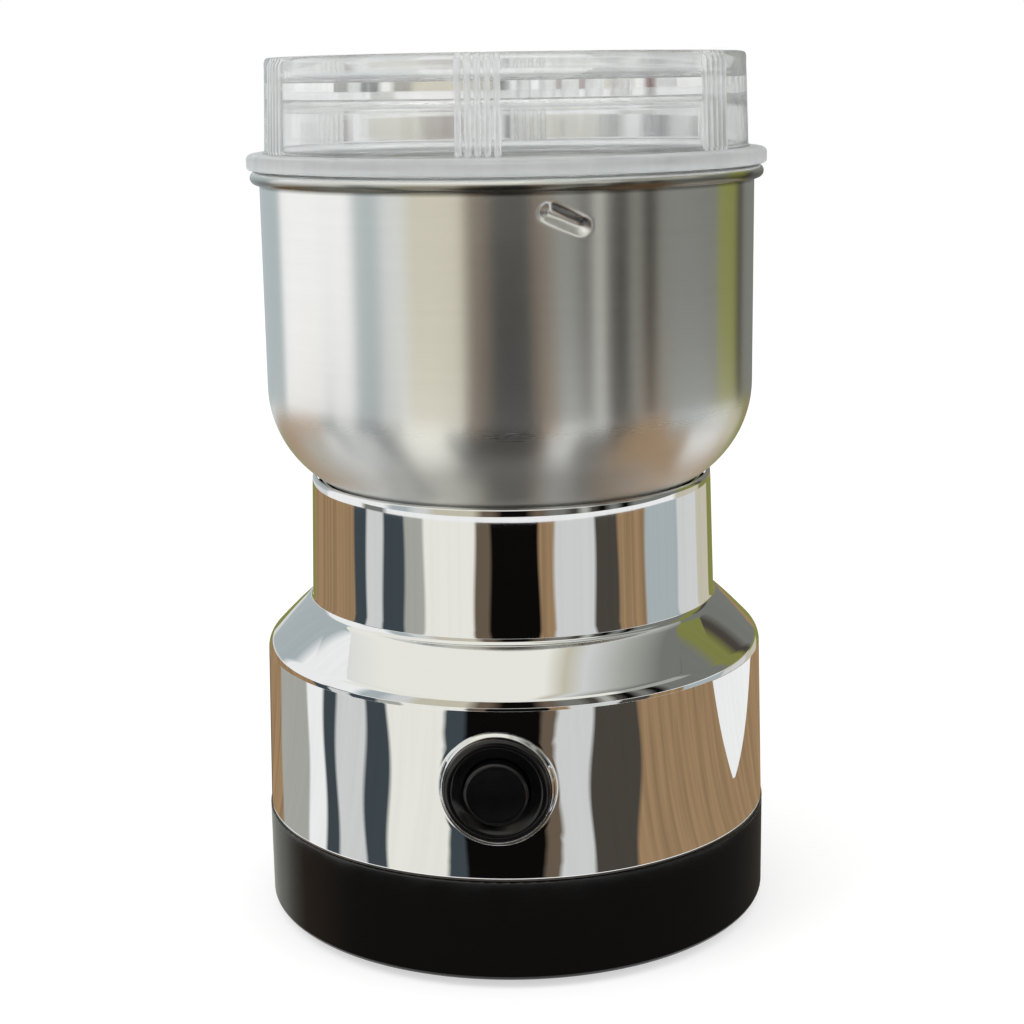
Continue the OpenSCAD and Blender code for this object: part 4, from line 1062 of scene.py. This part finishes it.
def bevelled(piece, width_mm):
    """Breaks the sharp edges, as tumbling or a mould does."""
    edge = piece.modifiers.new("edges", "BEVEL")
    edge.width = width_mm * MM
    edge.segments = 2
    edge.limit_method = "ANGLE"
    edge.angle_limit = np.radians(40)
    return piece


base_gloss = gloss_black("gloss_black_abs", "#0a0a0b", 0.09, 1.2, 0.0015)
dress(smooth_copy("base_moulding", "base", 12), base_gloss, "root", "black_gloss_plastic", "base")
print("base copied")

# %% [markdown]
# Rubber is matt because its mould was blasted and because bloom comes to its surface. The gland
# and the feet are both soft black rubber.
# %% Rubber


def black_rubber():
    """Moulded rubber: dark grey, matt, with a fine grain and paler bloom on it."""
    material, tree = new_material("moulded_black_rubber")
    grain = add(tree, "Bump", {"Distance": 0.02 * MM}, {"Height": pattern(tree, 0.35, 4.0)})
    bloom = pattern(tree, 5, 3.0)
    colour = add(tree, "ValToRGB", {"stops": [(0.35, "#161617"), (0.7, "#222223")]}, {"Fac": bloom})
    rough = add(tree, "MapRange", limits(0.55, 0.75), {"Value": bloom})
    finish_surface(tree, add(tree, "BsdfPrincipled", {"IOR": 1.5, "Specular IOR Level": 0.35},
                             {"Roughness": rough, "Normal": grain, "Base Color": colour}))
    return material


rubber = black_rubber()
dress(smooth_copy("foot_pads", "feet"), rubber, "root", "black_rubber", "feet")
dress(smooth_copy("gland_sleeve", "cord_gland"), rubber, "root", "black_rubber", "cord_gland")
print("rubber pieces set")

# %% [markdown]
# ## What shows through the lid
#
# The blade is stamped from stainless sheet, bent and ground. It sits between a collar and a
# washer under a nut, on a shaft that comes up through a brass bush.
# %% Metals


def worked_metal(name, tone, rough, grain_mm, stretch=None):
    """A metal whose grain is noise drawn out along the direction it was worked in."""
    material, tree = new_material(name)
    grain = pattern(tree, grain_mm, 3.0, stretch=stretch)
    relief = add(tree, "Bump", {"Distance": 0.004 * MM}, {"Height": grain})
    handling = add(tree, "MapRange", limits(rough * 0.8, rough * 1.25, 0.3, 0.7), {"Value": grain})
    pale = add(tree, "ValToRGB", {"stops": [(0.3, tone[0]), (0.75, tone[1])]}, {"Fac": pattern(tree, 6, 3.0)})
    finish_surface(tree, add(tree, "BsdfPrincipled", {"Metallic": 1.0},
                             {"Roughness": handling, "Normal": relief, "Base Color": pale}))
    return material


def matt_plastic(name, tone, rough=0.5, grain_mm=0.5):
    """Moulded plastic from a blasted mould: an even fine grain and little tone."""
    material, tree = new_material(name)
    grain = add(tree, "Bump", {"Distance": 0.01 * MM}, {"Height": pattern(tree, grain_mm, 3.0)})
    cloud = pattern(tree, 9, 3.0)
    colour = add(tree, "ValToRGB", {"stops": [(0.3, tone[0]), (0.75, tone[1])]}, {"Fac": cloud})
    uneven = add(tree, "MapRange", limits(rough * 0.85, rough * 1.15), {"Value": cloud})
    finish_surface(tree, add(tree, "BsdfPrincipled", {"IOR": 1.5},
                             {"Roughness": uneven, "Normal": grain, "Base Color": colour}))
    return material


ground_steel = worked_metal("ground_stainless_steel", ("#b9bbbd", "#c8cacb"), 0.25, 0.3, (1, 0.05, 1))
bright_steel = worked_metal("turned_bright_steel", ("#b4b6b8", "#c6c8ca"), 0.22, 0.25, (1, 1, 4))
zinc_steel = worked_metal("zinc_plated_steel", ("#a9b1b6", "#c4c6bd"), 0.3, 2.0)
brass = worked_metal("turned_brass", ("#b8965a", "#c9a869"), 0.28, 0.3, (1, 1, 4))
bronze = worked_metal("sintered_bronze", ("#8f6a3c", "#a37d49"), 0.42, 0.25)
copper = worked_metal("commutator_copper", ("#a96a45", "#bd7c54"), 0.3, 0.3, (1, 1, 4))
enamel = worked_metal("enamelled_copper_wire", ("#8a4a24", "#a85f30"), 0.3, 0.5, (1, 1, 6))
laminations = worked_metal("stacked_silicon_steel", ("#6e7072", "#8b8d8f"), 0.45, 0.5, (0.1, 0.1, 1))
aluminium = worked_metal("cast_aluminium", ("#9c9fa1", "#adb0b2"), 0.5, 1.0)
nylon = matt_plastic("white_glass_filled_nylon", ("#d9d6cb", "#e5e2d8"))
black_matt = matt_plastic("black_glass_filled_nylon", ("#1b1b1d", "#262628"))
red_phenolic = matt_plastic("red_brown_phenolic", ("#4a1a16", "#5e241d"), 0.35)
carbon = matt_plastic("pressed_carbon", ("#1d1d20", "#2a2a2e"), 0.45, 0.3)
lead_skin = matt_plastic("lead_insulation_pvc", ("#242426", "#333336"), 0.4)

print("metals and plastics mixed")

# %% [markdown]
# What nobody sees from outside stays as it was built, and only gets its finish.
# %% Finishes of the hidden solids

NODE_FINISH = {
    "bracket_screws": zinc_steel, "switch_screws": zinc_steel, "deck_screws": zinc_steel,
    "mount_screws": zinc_steel, "motor_bolts": zinc_steel, "bush_nut": zinc_steel,
    "switch_bracket": zinc_steel, "return_spring": bright_steel, "brush_springs": bright_steel,
    "upper_bearing": bronze, "lower_bearing": bronze, "brush_holders": brass,
    "switch_terminals": brass, "commutator": copper, "stator_core": laminations,
    "armature_core": laminations, "field_coils": enamel, "armature_windings": enamel,
    "upper_bracket": aluminium, "lower_bracket": black_matt, "motor_plate": black_matt,
    "bezel_nut": black_matt, "damping_mounts": rubber, "bowl_gasket": rubber,
    "cooling_fan": nylon, "switch_plunger": nylon, "switch_body": red_phenolic,
    "carbon_brushes": carbon, "supply_leads": lead_skin, "motor_leads": lead_skin
}
for node, material in NODE_FINISH.items():
    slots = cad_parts[node].data.materials
    if not len(slots):
        slots.append(material)
    for i in range(len(slots)):
        slots[i] = material
print("finished", len(NODE_FINISH), "solids")

# %% [markdown]
# The parts that can be seen through the lid or from below get smooth copies, with broken edges on
# the blade: it is tumbled after stamping, and only its leading edges are sharp.
# %% Blade and its neighbours


def clear_silicone():
    """Milky silicone rubber, cast smooth: light gets through it, but scattered."""
    material, tree = new_material("clear_silicone_rubber")
    cloud = pattern(tree, 4, 3.0)
    rough = add(tree, "MapRange", limits(0.25, 0.4), {"Value": cloud})
    relief = add(tree, "Bump", {"Distance": 0.01 * MM}, {"Height": cloud})
    finish_surface(tree, add(tree, "BsdfPrincipled",
                             {"Transmission Weight": 0.7, "IOR": 1.41, "Base Color": linear("#dfe2e2")},
                             {"Roughness": rough, "Normal": relief}))
    return material


dress(smooth_copy("lid_gasket", "lid_seal"), clear_silicone(), "seal", "clear_silicone", "lid_seal")
dress(bevelled(smooth_copy("blade_ground", "blade", 25), 0.18), ground_steel, "rotor", "blade_steel", "blade")
blade_nut_hex = bevelled(smooth_copy("blade_nut_hex", "blade_nut", 25), 0.25)
dress(blade_nut_hex, bright_steel, "rotor", "ground_steel", "blade_nut")
dress(smooth_copy("blade_washer_disc", "blade_washer"), bright_steel, "rotor", "ground_steel", "blade_washer")
dress(smooth_copy("blade_collar_ring", "blade_collar"), bright_steel, "rotor", "ground_steel", "blade_collar")
dress(smooth_copy("shaft_ground", "shaft"), bright_steel, "rotor", "ground_steel", "shaft")
dress(bevelled(smooth_copy("bush_turned", "bowl_bush"), 0.2), brass, "root", "brass", "bowl_bush")
dress(smooth_copy("base_screw_heads", "base_screws"), zinc_steel, "root", "zinc_steel", "base_screws")
print("inner pieces dressed")
